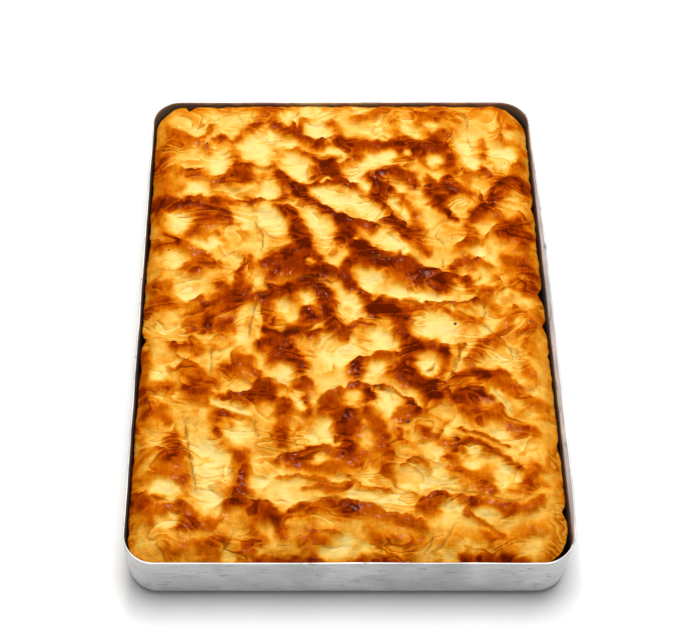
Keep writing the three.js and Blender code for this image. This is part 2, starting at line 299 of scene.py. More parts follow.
    Fold(0.85, 2, ((18, -67, 1.5), (30, -71, 2), (42, -77, 2), (52, -85, 2)), Steep.LEFT),
    Fold(0.8, 3, ((54, -66, 6), (58, -76, 5), (64, -78, 4))),
    Fold(0.7, 3, ((62, -78, 3), (74, -74, 4), (86, -73, 5), (94, -72, 4)), Steep.LEFT),
    Fold(0.7, 2, ((36, -92, 5), (46, -88, 5), (52, -87, 3))),
    Fold(0.75, 3, ((0, -92, 6), (2, -100, 6))),
    Fold(0.8, 4, ((14, -90, 5), (20, -96, 7), (24, -106, 6), (26, -116, 5))),
    Fold(0.55, 2, ((4, -108, 6), (5, -118, 7), (8, -126, 6))),
    Fold(0.5, 2, ((18, -122, 6), (26, -128, 6), (26, -137, 4))),
    Fold(0.5, 1, ((34, -104, 4), (40, -110, 4))),
    Fold(0.65, 3, ((80, -86, 4), (92, -92, 6), (104, -90, 6), (112, -88, 3))),
    Fold(0.7, 3, ((78, -76, 6), (88, -80, 5), (94, -76, 4))),
    Fold(0.6, 2, ((97, -73, 3), (106, -80, 3), (112, -86, 2))),
    Fold(0.6, 2, ((114, -98, 5), (122, -104, 6), (130, -104, 4))),
    Fold(0.65, 2, ((81, -102, 1.5), (92, -106, 2), (104, -111, 2), (113, -115, 1.5)), Steep.LEFT),
    Fold(0.75, 3, ((78, -112, 2), (90, -113, 3), (100, -119, 3), (110, -125, 3), (119, -131, 2))),
    Fold(0.65, 3, ((55, -104, 4), (64, -110, 5), (72, -114, 5), (79, -119, 3))),
    Fold(0.65, 3, ((70, -122, 4), (78, -132, 5), (86, -138, 6), (92, -144, 6), (96, -148, 4))),
    Fold(0.6, 2, ((97, -132, 5), (99, -140, 4))),
    Fold(0.6, 2, ((124, -132, 4), (128, -140, 6), (134, -143, 4))),
    Fold(0.55, 2, ((112, -146, 4), (122, -146, 5))),
    Fold(0.55, 3, ((38, -130, 2), (44, -126, 2), (52, -127, 3), (60, -131, 3), (68, -133, 4)), Steep.LEFT),
    Fold(0.6, 2, ((0, -144, 3), (10, -147, 2), (30, -149, 1.5)), Steep.LEFT),
    Fold(0.7, 4, ((50, -160, 5), (58, -155, 5), (66, -152, 4), (76, -155, 4), (84, -158, 4)), Steep.LEFT),
    Fold(0.65, 4, ((84, -158, 4), (96, -160, 5), (108, -164, 5), (120, -162, 4), (130, -157, 4))),
    Fold(0.7, 4, ((0, -162, 6), (14, -164, 6), (26, -170, 5), (40, -172, 5), (48, -172, 3)), Steep.LEFT),
    Fold(0.6, 2, ((54, -166, 5), (60, -164, 6))),
    Fold(0.65, 2, ((78, -166, 2), (88, -171, 2), (98, -177, 2), (104, -180, 2))),
    Fold(0.5, 2, ((92, 104, 5), (104, 112, 6), (120, 118, 6), (136, 125, 5))),
    Fold(0.5, 2, ((38, 147, 3), (52, 139, 3))),
    Fold(0.5, 2, ((88, 54, 4), (108, 62, 4))),
    Fold(0.5, 2, ((-143, 84, 6), (-135, 78, 6), (-131, 66, 5))),
    Fold(0.5, 1, ((-146, -40, 6), (-145, -76, 6))),
    Fold(0.5, 2, ((62, -70, 4), (80, -63, 5), (100, -61, 5), (118, -64, 5)), Steep.LEFT),
    Fold(0.5, 2, ((112, -68, 5), (126, -74, 5), (139, -86, 5))),
    Fold(0.4, 1, ((-108, 84, 3), (-100, 80, 4))),
    Fold(0.4, 1, ((140, 44, 6), (138, 20, 6))),
    Fold(0.45, 2, ((-66, 120, 4), (-60, 128, 4))),
    Fold(0.55, 2, ((116, 71, 4), (126, 66, 5), (138, 60, 4))),
    Fold(0.5, 2, ((120, 44, 4), (132, 38, 6), (142, 30, 4))),
    Fold(0.6, 2, ((82, 34, 3), (88, 42, 3), (100, 42, 3))),
    Fold(0.5, 1, ((122, 22, 4), (134, 18, 6), (144, 12, 4))),
    Fold(0.5, 1, ((103, 10, 4), (110, 4, 5), (113, -3, 4))),
    Fold(0.5, 2, ((128, -2, 4), (138, -7, 6), (144, -12, 4))),
    Fold(0.45, 2, ((122, -5, 3), (116, -16, 4), (112, -30, 4))),
    Fold(0.65, 3, ((80, -60, 3), (90, -57, 4), (104, -58, 4), (115, -56, 3))),
    Fold(0.55, 1, ((121, 78, 5), (130, 73, 6), (140, 66, 5))),
    Fold(0.65, 2, ((68, 168, 4), (72, 158, 5), (79, 151, 4))),
    Fold(0.6, 2, ((108, 158, 3), (111, 141, 4), (112, 128, 4))),
    Fold(0.6, 2, ((118, 102, 4), (110, 92, 4), (102, 84, 4), (94, 76, 3))),
    Fold(0.6, 1, ((136, 120, 4), (140, 113, 5))),
    Fold(0.75, 2, ((70, 92, 2), (78, 86, 2), (86, 80, 2))),
    Fold(0.4, 1, ((42, 180, 4), (44, 168, 4))),
    Fold(0.8, 0, ((-60, -197, 3), (-40, -198, 3), (-20, -197, 3))),
    Fold(0.75, 0, ((60, -197, 3), (90, -196, 4), (118, -197, 3))),
    Fold(0.6, 0, ((2, -198, 3), (16, -197, 3), (30, -198, 3))),
    Fold(0.3, 1, ((-30, -186, 4), (-18, -190, 5), (-24, -178, 4))),
    Fold(0.3, 1, ((20, -184, 5), (34, -188, 5), (48, -184, 4))),
    Fold(0.3, 1, ((94, -184, 4), (112, -181, 5), (128, -176, 5))),
    Fold(0.5, 1, ((-118, -192, 4), (-100, -190, 5), (-84, -184, 4))),
    Fold(0.5, 1, ((-70, -188, 4), (-58, -184, 5))),
    Fold(0.4, 1, ((-24, -94, 5), (-30, -98, 5))),
    Fold(0.55, 2, ((-56, 24, 5), (-46, 22, 4))),
    Fold(0.45, 1, ((-100, -6, 6), (-112, -10, 6))),
)

# The pale hollows between them.
HOLLOWS = (
    Hollow(1, ((-96, 140, 9), (-97, 130, 9))),
    Hollow(1, ((-112, 110, 7),)),
    Hollow(1, ((-124, 79, 9),)),
    Hollow(0.8, ((-75, 82, 8), (-76, 90, 5))),
    Hollow(0.9, ((-24, 192, 9), (-18, 188, 9))),
    Hollow(0.9, ((-42, 182, 6),)),
    Hollow(1, ((-20, 170, 8), (-14, 165, 7))),
    Hollow(0.9, ((-70, 156, 7), (-56, 160, 8), (-40, 155, 5))),
    Hollow(0.9, ((-66, 143, 8), (-62, 136, 7))),
    Hollow(1, ((-38, 136, 8), (-32, 130, 9))),
    Hollow(0.8, ((-57, 110, 8),)),
    Hollow(1, ((-10, 103, 9), (-18, 106, 5), (-4, 97, 6))),
    Hollow(1, ((-58, 82, 8), (-52, 74, 9))),
    Hollow(1, ((-24, 84, 6), (-18, 76, 6))),
    Hollow(0.8, ((-15, 117, 2), (-12, 119, 2.5))),
    Hollow(0.9, ((-10, 144, 6), (-2, 142, 5))),
    Hollow(0.8, ((30, 172, 8), (26, 166, 6))),
    Hollow(0.7, ((14, 192, 5),)),
    Hollow(0.8, ((70, 173, 5),)),
    Hollow(0.9, ((32, 158, 3),)),
    Hollow(0.9, ((51, 145, 3.5),)),
    Hollow(1, ((36, 141, 6), (26, 136, 7), (10, 126, 6))),
    Hollow(1, ((72, 138, 6),)),
    Hollow(0.9, ((97, 150, 9), (100, 140, 8))),
    Hollow(1, ((126, 144, 9), (124, 135, 7))),
    Hollow(1, ((18, 110, 4.5),)),
    Hollow(1, ((6, 100, 7), (16, 92, 8), (26, 84, 6))),
    Hollow(0.9, ((40, 95, 4), (46, 82, 5))),
    Hollow(0.9, ((108, 112, 7),)),
    Hollow(0.8, ((92, 98, 6),)),
    Hollow(1, ((-100, 57, 6),)),
    Hollow(1, ((-116, 15, 8),)),
    Hollow(0.8, ((-126, 43, 7),)),
    Hollow(0.7, ((-25, 38, 3),)),
    Hollow(0.6, ((-60, 24, 3),)),
    Hollow(0.8, ((-26, 6, 5),)),
    Hollow(0.85, ((-44, -2, 7), (-40, -8, 6))),
    Hollow(0.2, ((-17, -12, 3),)),
    Hollow(1, ((-44, -58, 8),)),
    Hollow(1, ((-133, -57, 5),)),
    Hollow(0.8, ((-76, -8, 3), (-74, -26, 4))),
    Hollow(0.7, ((10, 59, 2.5),)),
    Hollow(1, ((30, 62, 8), (42, 54, 7))),
    Hollow(1, ((22, 26, 7), (18, 18, 6))),
    Hollow(1, ((36, 12, 4), (56, 8, 4), (70, 8, 3))),
    Hollow(1, ((3, 4, 6), (6, -6, 5))),
    Hollow(1, ((59, -50, 7.5),)),
    Hollow(1, ((22, -55, 7),)),
    Hollow(0.9, ((62, -18, 9), (74, -22, 9))),
    Hollow(0.9, ((26, -30, 8), (22, -24, 6))),
    Hollow(1, ((-10, -34, 8), (-6, -44, 6), (4, -36, 6))),
    Hollow(0.9, ((-94, -81, 2.5), (-80, -85, 3), (-68, -90, 2))),
    Hollow(1, ((-76, -104, 9),)),
    Hollow(0.9, ((-36, -77, 5), (-32, -84, 3))),
    Hollow(0.5, ((-22, -106, 6),)),
    Hollow(0.9, ((-19, -124, 4.5),)),
    Hollow(1, ((-98, -118, 8), (-92, -132, 11), (-94, -146, 9), (-92, -160, 6))),
    Hollow(1, ((-60, -142, 6),)),
    Hollow(0.9, ((-130, -147, 5), (-120, -149, 4))),
    Hollow(0.9, ((-122, -173, 6),)),
    Hollow(0.8, ((-46, -152, 8), (-40, -158, 5))),
    Hollow(0.9, ((30, -80, 6), (30, -88, 4))),
    Hollow(0.35, ((8, -83, 5),)),
    Hollow(0.9, ((104, -73, 3), (112, -82, 3), (116, -90, 2))),
    Hollow(0.8, ((106, -105, 5),)),
    Hollow(1, ((109, -139, 8),)),
    Hollow(0.8, ((68, -161, 5), (74, -164, 3))),
    Hollow(0.8, ((90, -165, 4), (98, -169, 4))),
    Hollow(0.9, ((86, -126, 7), (88, -120, 5))),
    Hollow(0.6, ((117, 5, 5),)),
    Hollow(0.6, ((106, -42, 7), (114, -38, 6))),
    Hollow(0.8, ((54, 172, 8), (62, 164, 6))),
    Hollow(0.8, ((128, 146, 9), (122, 136, 8))),
    Hollow(0.9, ((-12, -192, 6), (-4, -186, 6))),
    Hollow(0.8, ((66, -196, 5),)),
    Hollow(0.5, ((-80, -196, 6),)),
    Hollow(0.35, ((8, -188, 6),)),
    Hollow(0.35, ((80, -188, 6),)),
    Hollow(0.3, ((-52, -192, 5),)),
    Hollow(0.3, ((-104, -196, 6),)),
    Hollow(0.4, ((124, -190, 6),)),
    Hollow(0.3, ((-136, -182, 6),)),
    Hollow(0.9, ((44, -140, 7), (58, -142, 6))),
    Hollow(0.7, ((58, -122, 5), (64, -134, 5), (70, -147, 5))),
    Hollow(0.8, ((4, -152, 4), (24, -156, 5), (40, -152, 3))),
)

# The free edges of sheets that lie over others, each with the raised sheet to its left.
LIPS = (
    Lip(1.8, 7, ((52, -86), (42, -78), (30, -72), (18, -68), (4, -66))),
    Lip(1.6, 8, ((119, -132), (110, -126), (100, -120), (90, -114), (78, -112))),
    Lip(1.2, 6, ((113, -116), (104, -112), (92, -107), (81, -103))),
    Lip(1.5, 7, ((97, 3), (84, 2), (70, 3), (55, 2), (40, 4), (28, 6))),
    Lip(1.4, 6, ((62, 42), (48, 42), (30, 40), (16, 42))),
    Lip(1.4, 8, ((0, -146), (-16, -144), (-34, -140), (-48, -138))),
    Lip(1.2, 6, ((60, -150), (30, -151), (0, -149), (-30, -148))),
    Lip(1.6, 9, ((40, -167), (20, -160), (0, -157), (-20, -156), (-40, -160))),
    Lip(1.6, 9, ((130, -152), (112, -158), (98, -155), (82, -151), (66, -147), (54, -152))),
    Lip(1.4, 8, ((-50, -158), (-64, -155), (-80, -155), (-90, -162))),
    Lip(1.2, 7, ((-104, -161), (-118, -157), (-134, -155), (-148, -154))),
    Lip(1.2, 5, ((104, -181), (96, -176), (88, -171), (78, -165))),
    Lip(1.2, 6, ((-8, 24), (-20, 22), (-36, 22), (-50, 25))),
    Lip(1.3, 5, ((0, -24), (-20, -23), (-40, -22), (-56, -23))),
    Lip(1.2, 6, ((-4, 176), (-20, 174), (-33, 178))),
    Lip(1.2, 6, ((-46, 97), (-60, 97), (-74, 93), (-86, 94))),
    Lip(1.2, 6, ((-12, 20), (-30, 23), (-44, 20))),
    Lip(1.2, 6, ((146, 110), (138, 122), (126, 118), (122, 108))),
    Lip(1, 5, ((-66, -93), (-80, -88), (-94, -84))),
    Lip(1, 6, ((-100, 36), (-120, 32), (-146, 34))),
    Lip(1.3, 6, ((68, -134), (60, -129), (50, -124), (40, -127))),
    Lip(1.2, 6, ((114, -92), (108, -82), (98, -73), (86, -70))),
    Lip(1.2, 6, ((0, -66), (-8, -68), (-16, -76), (-22, -88))),
    Lip(1.1, 6, ((-62, -70), (-52, -62), (-40, -62), (-30, -62))),
)

# The thin creases.
CREASES = (
    Crease(1.3, ((-116, -85), (-112, -100), (-107, -128), (-101, -158))),
    Crease(1.2, ((-62, 10), (-67, -5), (-69, -16), (-70, -30))),
    Crease(1, ((-97, -33), (-96, -46), (-96, -62))),
    Crease(1.1, ((-66, 90), (-67, 78), (-61, 66), (-61, 54), (-64, 44))),
    Crease(1, ((-63, -92), (-64, -100), (-62, -110))),
    Crease(1, ((32, -136), (33, -143), (33, -150))),
    Crease(1, ((78, 50), (76, 58), (70, 64), (74, 74))),
    Crease(1.1, ((97, -14), (104, -4), (100, 6), (99, 20))),
    Crease(1, ((77, -18), (82, -30), (82, -44), (75, -58), (68, -68))),
    Crease(0.9, ((75, 46), (74, 38), (74, 32))),
    Crease(0.9, ((124, -35), (123, -45))),
    Crease(0.9, ((96, 192), (102, 180), (100, 165))),
    Crease(0.9, ((48, -196), (54, -188), (58, -178))),
    Crease(0.9, ((-88, -196), (-80, -186), (-76, -176))),
    Crease(0.8, ((20, -194), (24, -184))),
    Crease(0.8, ((-30, -196), (-34, -184))),
    Crease(0.9, ((100, -66), (110, -76), (116, -88), (118, -94))),
    Crease(1, ((139, -160), (140, -168), (143, -176))),
    Crease(0.9, ((-62, 72), (-56, 66), (-50, 60))),
    Crease(1, ((-74, 46), (-82, 50), (-92, 46))),
    Crease(0.9, ((-60, 46), (-52, 50), (-44, 52))),
    Crease(0.8, ((-68, 20), (-64, 12), (-56, 6))),
    Crease(0.8, ((-135, 178), (-128, 170), (-120, 172))),
    Crease(0.8, ((-84, 190), (-80, 180), (-76, 172))),
    Crease(0.8, ((-70, 192), (-72, 184), (-68, 178))),
    Crease(0.9, ((60, 38), (52, 44), (40, 43))),
    Crease(0.8, ((30, 70), (38, 62), (46, 54))),
    Crease(0.8, ((34, -12), (36, -24), (34, -36))),
    Crease(0.9, ((-30, -124), (-20, -119), (-10, -120))),
    Crease(0.9, ((110, -28), (118, -34), (122, -46))),
    Crease(0.8, ((-52, -160), (-46, -168), (-46, -178))),
    Crease(1, ((72, -172), (62, -188), (52, -194))),
    Crease(0.8, ((100, 166), (102, 156), (108, 150))),
    Crease(0.8, ((96, 190), (100, 180), (102, 172))),
    Crease(1, ((112, -28), (104, -18), (98, -12))),
)

# The bays in the pie's edge.
NOTCHES = (
    Notch((-122, 199), 8.2, 3.2),
    Notch((147, 14), 4, 6),
    Notch((147, -14), 3.5, 4),
    Notch((147, -38), 1.5, 2.5),
    Notch((147, 95), 2.5, 5),
    Notch((147, 60), 1.5, 8),
    Notch((-147, -25), 3.5, 4),
    Notch((-147, 60), 1.5, 6),
    Notch((147, -162), 3.5, 4),
    Notch((147, -112), 1.5, 3),
    Notch((-147, -50), 1.5, 5),
    Notch((147, 125), 1.5, 4),
    Notch((-96, 199), 2, 6),
    Notch((-112, 199), 1.5, 32),
    Notch((60, 199), 1.5, 8),
    Notch((106, 199), 1.5, 6),
)

# The largest grains of pepper and scorched crumbs: x, y and half size.
PEPPER = (
    (80.5, -14.5, 1.3),
    (-106.5, 155.5, 1.1),
    (43, -96, 1.1),
    (-132, 52, 0.7),
    (135, -13, 0.7),
    (-110, -81, 0.5),
    (-35, -114, 0.6),
    (75, -109.5, 0.5),
    (128, 136, 0.5),
    (-18, 101, 0.5),
    (-119, 177, 0.6),
    (57, 47, 0.4),
    (70, -24, 0.5),
)


# ---- Noise and lines over the plan --------------------------------------------------------------------


class Lattice:
    """Smooth noise over the plan, the same on each run."""

    cells = 256

    def __init__(self, seed: int) -> None:
        """Draws the lattice's directions.

        Args:
            seed: The number that the directions are drawn from.
        """
        angles = np.random.default_rng(seed).random((self.cells, self.cells)) * 2 * math.pi
        self._slopes = np.stack([np.cos(angles), np.sin(angles)], axis=-1)

    def at(self, x: np.ndarray, y: np.ndarray, size: float) -> np.ndarray:
        """Gives the noise at some places.

        Args:
            x: Their x, mm.
            y: Their y, mm.
            size: The size of its features, mm.

        Returns:
            A number from about -1 to 1 for each place.
        """
        x, y = x / size, y / size
        column, row = np.floor(x).astype(int), np.floor(y).astype(int)
        x, y = x - column, y - row

        def corner(right: int, up: int) -> np.ndarray:
            """Gives what the slope at one corner of their cells adds to the places."""
            slope = self._slopes[(column + right) % self.cells, (row + up) % self.cells]
            return slope[..., 0] * (x - right) + slope[..., 1] * (y - up)

        across, along = (t * t * t * (t * (t * 6 - 15) + 10) for t in (x, y))
        low = corner(0, 0) * (1 - across) + corner(1, 0) * across
        high = corner(0, 1) * (1 - across) + corner(1, 1) * across
        return 1.5 * (low * (1 - along) + high * along)


def eased(low: float, high: float, value: np.ndarray) -> np.ndarray:
    """Goes smoothly from 0 at low to 1 at high.

    Args:
        low: Where it is 0. It may be the larger.
        high: Where it is 1.
        value: The values to ease.

    Returns:
        The eased values.
    """
    share = np.clip((value - low) / (high - low), 0, 1)
    return share * share * (3 - 2 * share)


@dataclass
class LineReading:
    """What the places near a line are to it.

    Attributes:
        near: The numbers of the places that are near it.
        distance: How far each is from it, mm.
        width: The line's half-width beside it, mm.
        side: 1 to the line's left, -1 to its right.
        along: How far along the line it is, from 0 to 1.
    """

    near: np.ndarray
    distance: np.ndarray
    width: np.ndarray
    side: np.ndarray
    along: np.ndarray


def read_line(x: np.ndarray, y: np.ndarray, line: Sequence[Sequence[float]], margin: float) -> LineReading:
    """Reads the places near a line against it.

    Args:
        x: The places' x, mm.
        y: The places' y, mm.
        line: The line's points, (x, y) or (x, y, half-width), mm.
        margin: How far from the line a place is still near, mm.

    Returns:
        The reading, whose arrays hold the near places only.
    """
    points = np.array([(*point, 1.0)[:3] for point in line], float)
    if len(points) == 1:
        points = np.concatenate([points, points + (0.01, 0, 0)])
    low, high = points[:, :2].min(0) - margin, points[:, :2].max(0) + margin
    near = np.flatnonzero((x > low[0]) & (x < high[0]) & (y > low[1]) & (y < high[1]))
    px, py = x[near], y[near]
    lengths = np.hypot(*np.diff(points[:, :2], axis=0).T)
    before = np.concatenate([[0], np.cumsum(lengths)]) / lengths.sum()
    best = np.full(px.shape, np.inf)
    reading = LineReading(near, best.copy(), np.ones_like(px), np.ones_like(px), np.zeros_like(px))
    for k, (start, end) in enumerate(zip(points, points[1:])):
        run = end[:2] - start[:2]
        from_start = np.stack([px - start[0], py - start[1]])
        share = np.clip(run @ from_start / max(run @ run, 1e-9), 0, 1)
        off = from_start - run[:, None] * share
        distance = np.hypot(*off)
        width = start[2] + (end[2] - start[2]) * share
        closer = distance / width < best
        best = np.where(closer, distance / width, best)
        reading.distance = np.where(closer, distance, reading.distance)
        reading.width = np.where(closer, width, reading.width)
        side = np.sign(run[0] * from_start[1] - run[1] * from_start[0])
        reading.side = np.where(closer, side, reading.side)
        reading.along = np.where(closer, before[k] + (before[k + 1] - before[k]) * share, reading.along)
    return reading


# ---- The top of the pie -------------------------------------------------------------------------------


@dataclass
class PastryTop:
    """The top sheets of filo: how high they lie, how brown they are and how deep their creases are, and how
    much shade is painted along the creases and lip edges, at any place.

    Attributes:
        half_width: Half the pie's size along X, mm.
        half_length: Half its size along Y, mm.
        corners: The radii of its corners in plan, mm: front left and right, back left and right.
        crown_level: The level of the crown at the shoulder, mm over the tin's underside.
        crown_rise: How far the middle stands over that, mm.
        shoulder: How far in from the edge the top starts to roll down, mm.
        rim_drop: How far it has rolled down at the edge, mm.
        back_drop: The same at the back, where it stands against the tin, mm.
        hollow_dip: How far a pale hollow lies under the crown, mm.
        front_band: How far back from the front the top slopes down and is browner, mm.
        lap_shift: How far the browning jumps where one sheet laps over the next, mm.
        lap_fall: The share of a sheet's width in which its free edge drops away.
        crease_width: Half the width of a thin crease, mm.
        noise: The noise that its shapes are drawn with.
    """

    half_width: float
    half_length: float
    corners: tuple[float, ...] = (20.0, 27.0, 26.0, 30.0)
    crown_level: float = 51.3
    crown_rise: float = 2.0
    shoulder: float = 15.0
    rim_drop: float = 7.6
    back_drop: float = 4.9
    hollow_dip: float = 2.0
    front_band: float = 34.0
    lap_shift: float = 5.0
    lap_fall: float = 0.06
    crease_width: float = 0.75
    noise: tuple[Lattice, ...] = field(default_factory=lambda: tuple(Lattice(seed) for seed in range(10)))

    def corner_radius(self, x: np.ndarray, y: np.ndarray) -> np.ndarray:
        """Gives the radius of the corner that each place is nearest, mm."""
        return np.array(self.corners)[(x > 0) * 1 + (y > 0) * 2]

    def edge_distance(self, x: np.ndarray, y: np.ndarray) -> np.ndarray:
        """Gives how far inside the pie's rounded outline each place lies.

        Args:
            x: The places' x, mm.
            y: The places' y, mm.

        Returns:
            The distance of each place, mm, and 0 outside.
        """
        radius = self.corner_radius(x, y)
        across = abs(x) - (self.half_width - radius)
        along = abs(y) - (self.half_length - radius)
        turned = radius - np.hypot(np.maximum(across, 0), np.maximum(along, 0))
        straight = radius - np.maximum(across, along)
        return np.maximum(0, np.where((across > 0) & (along > 0), turned, straight))

    def strayed(self, x: np.ndarray, y: np.ndarray) -> tuple[np.ndarray, np.ndarray]:
        """Moves places about a little, so that the folds read there wander as real pastry does.

        Args:
            x: The places' x, mm.
            y: The places' y, mm.

        Returns:
            The moved x and y, mm.
        """
        wander = ((16.0, 2.0), (7.0, 1.7), (3.4, 0.8))
        share, strength = self.lapped(x, y)
        slid = self.lap_shift * (share - 0.5) * strength
        moved_x, moved_y = x + 0.5 * slid, y - 0.85 * slid
        for k, (size, reach) in enumerate(wander):
            moved_x += reach * self.noise[k].at(x, y, size)
            moved_y += reach * self.noise[k + 3].at(x, y, size)
        return moved_x, moved_y

    def fold_shares(self, x: np.ndarray, y: np.ndarray, fold: Fold) -> tuple[np.ndarray, np.ndarray]:
        """Reads how near places are to a fold's crest, in half-widths, the steep side counting as further.

        Args:
            x: The places' x, mm.
            y: The places' y, mm.
            fold: The fold.

        Returns:
            The near places' numbers, and the share for each.
        """
        widest = max(width for _, _, width in fold.crest)
        reading = read_line(x, y, fold.crest, 3.2 * widest)
        share = reading.distance / reading.width
        if fold.steep is not Steep.NEITHER:
            past = share * reading.side * fold.steep.value - 0.55
            share = np.where(past > 0, past * 2.8, -past * 0.68)
        return reading.near, share

    def crown(self, x: np.ndarray, y: np.ndarray) -> np.ndarray:
        """Gives the level of the pie without its folds.

        Args:
            x: The places' x, mm.
            y: The places' y, mm.

        Returns:
            The level of each place, mm over the tin's underside.
        """
        swell = (1 - (x / self.half_width) ** 2) * (1 - (y / self.half_length) ** 2)
        roll = np.maximum(0, 1 - self.edge_distance(x, y) / self.shoulder) ** 2.2
        front = eased(-self.half_length + self.front_band, -self.half_length, y)
        back = eased(self.half_length - 12, self.half_length - 4, y)
        back = back * eased(self.half_width, self.half_width - 22, abs(x))
        drop = self.rim_drop + (self.back_drop - self.rim_drop) * back
        uneven = 1.1 * self.noise[2].at(x, y, 10.0) + 0.7 * self.noise[0].at(x, y, 4.5)
        level = self.crown_level + self.crown_rise * swell - 1.8 * front * (1 - roll)
        return level - (drop + uneven) * roll

    def crumple(self, x: np.ndarray, y: np.ndarray) -> np.ndarray:
        """Gives the small crisp folds that cover the whole top, some up and some down.

        Args:
            x: The places' x, mm.
            y: The places' y, mm.

        Returns:
            How far each place is raised, about -1 to 1.5.
        """
        wx = x + 6 * self.noise[0].at(x, y, 26.0) + 2.2 * self.noise[1].at(x, y, 9.0)
        wy = y + 6 * self.noise[2].at(x, y, 26.0) + 2.2 * self.noise[3].at(x, y, 9.0)
        along, across = (wx - 0.8 * wy) / 1.28, (0.8 * wx + wy) / 1.28
        broad = 1 - 2.4 * abs(self.noise[8].at(along / 2.0, across, 18.0))
        narrow = 1 - 2.4 * abs(self.noise[9].at(along / 2.4, across, 8.5))
        valleys = 1 - 2.4 * abs(self.noise[5].at(across / 1.6, along, 16.0))
        fine = 1 - 2.4 * abs(self.noise[4].at(along / 3.0, across, 4.2))
        return 0.9 * broad + 0.42 * narrow - 0.55 * valleys + 0.13 * fine

    def lapped(self, x: np.ndarray, y: np.ndarray) -> tuple[np.ndarray, np.ndarray]:
        """Reads how the thin sheets lap over each other all over the top.

        Args:
            x: The places' x, mm.
            y: The places' y, mm.

        Returns:
            How near each place is to its sheet's free edge, from 0 to 1, and how sharp a step that
            edge is there.
        """
        wx = x + 5 * self.noise[4].at(x, y, 30.0) + 1.6 * self.noise[5].at(x, y, 8.0)
        wy = y + 5 * self.noise[7].at(x, y, 30.0) + 1.6 * self.noise[6].at(x, y, 8.0)
        phase = 1.3 * self.noise[1].at(wx, wy, 42.0) + 0.5 * self.noise[2].at(wx, wy, 19.0)
        phase = phase + (wy + 0.6 * wx) / 85
        share = phase - np.floor(phase)
        rise = 1 - self.lap_fall
        share = np.where(share < rise, share / rise, (1 - share) / self.lap_fall)
        strength = eased(-0.25, 0.3, self.noise[3].at(wx, wy, 27.0)) * eased(1, 9, self.edge_distance(x, y))
        strength *= 1 - 0.75 * eased(-self.half_length + 52, -self.half_length + 38, y)
        return share, strength

    def folded(self, x: np.ndarray, y: np.ndarray) -> np.ndarray:
        """Gives how far the folds and small waves raise each place.

        Args:
            x: The places' x, mm.
            y: The places' y, mm.

        Returns:
            The rise of each place, mm.
        """
        wx, wy = self.strayed(x, y)
        heaped = np.zeros_like(x)
        for fold in FOLDS:
            near, share = self.fold_shares(wx, wy, fold)
            heaped[near] += (0.95 * fold.rise * np.exp(-0.5 * (share / 1.25) ** 2)) ** 3
        raised = np.cbrt(heaped)
        waves = 0.7 * self.noise[6].at(x, y, 19.0) + 0.4 * self.noise[7].at(x, y, 9.0)
        lap, strength = self.lapped(x, y)
        ridges = 1.5 * self.crumple(x, y) + 2.2 * lap**2 * strength
        settled = eased(0, self.shoulder, self.edge_distance(x, y))
        for lip in LIPS:
            reading = read_line(x, y, lip.line, 4 * lip.reach)
            off = reading.distance * reading.side
            ends = np.clip(np.sin(math.pi * reading.along), 0, 1) ** 0.6
            cliff = 1 / (1 + np.exp(-np.clip(off / 0.45, -30, 30)))
            raised[reading.near] += lip.step * ends * cliff * np.exp(-np.maximum(off, 0) / lip.reach)
        return (raised + ridges) * (0.4 + 0.6 * settled) + waves * settled

    def sunk(self, x: np.ndarray, y: np.ndarray) -> np.ndarray:
        """Gives how far hollows and creases lower each place.

        Args:
            x: The places' x, mm.
            y: The places' y, mm.

        Returns:
            The drop of each place, mm.
        """
        wx, wy = self.strayed(x, y)
        lowered = np.zeros_like(x)
        for hollow in HOLLOWS:
            widest = max(width for _, _, width in hollow.places)
            reading = read_line(wx, wy, hollow.places, 2.4 * widest)
            dip = self.hollow_dip * hollow.paleness * min(1.0, widest / 7)
            depth = dip * np.exp(-0.5 * (reading.distance / reading.width) ** 3)
            lowered[reading.near] = np.maximum(lowered[reading.near], depth)
        for crease in CREASES:
            near, share = self.crease_shares(x, y, crease.line)
            lowered[near] += crease.depth * share
        return lowered * eased(0, 6, self.edge_distance(x, y))

    def crease_shares(
        self, x: np.ndarray, y: np.ndarray, line: Sequence[Place]
    ) -> tuple[np.ndarray, np.ndarray]:
        """Reads how deep in a thin crease the places near it are.

        Args:
            x: The places' x, mm.
            y: The places' y, mm.
            line: The crease's places, mm.

        Returns:
            The near places' numbers, and 0 to 1 for each.
        """
        wx = x + 0.9 * self.noise[4].at(x, y, 5.0)
        wy = y + 0.9 * self.noise[5].at(x, y, 5.0)
        reading = read_line(wx, wy, line, 4.0)
        ends = np.clip(4 * np.minimum(reading.along, 1 - reading.along), 0, 1)
        return reading.near, ends * np.exp(-((reading.distance / self.crease_width) ** 2))

    def painted_shade_lines(self, x: np.ndarray, y: np.ndarray) -> np.ndarray:
        """Gives how much painted shade each place gets: a dark line along each crease, and a painted shadow
        line on the lower sheet just off each lip's free edge.

        Args:
            x: The places' x, mm.
            y: The places' y, mm.

        Returns:
            A share from 0 to 1 for each place.
        """
        shown = np.zeros_like(x)
        # Painted shade along each crease.
        for crease in CREASES:
            near, share = self.crease_shares(x, y, crease.line)
            shown[near] = np.maximum(shown[near], share * min(1.0, crease.depth / 1.2))
        # A painted shadow line on the lower sheet, 0.8 mm off each lip's free edge.
        for lip in LIPS:
            reading = read_line(x, y, lip.line, 5.0)
            off = reading.distance * reading.side + 0.8
            ends = np.clip(np.sin(math.pi * reading.along), 0, 1) ** 0.6
            line = ends * np.exp(-((off / 0.9) ** 2)) * min(1.0, lip.step / 1.6)
            shown[reading.near] = np.maximum(shown[reading.near], line)
        return shown

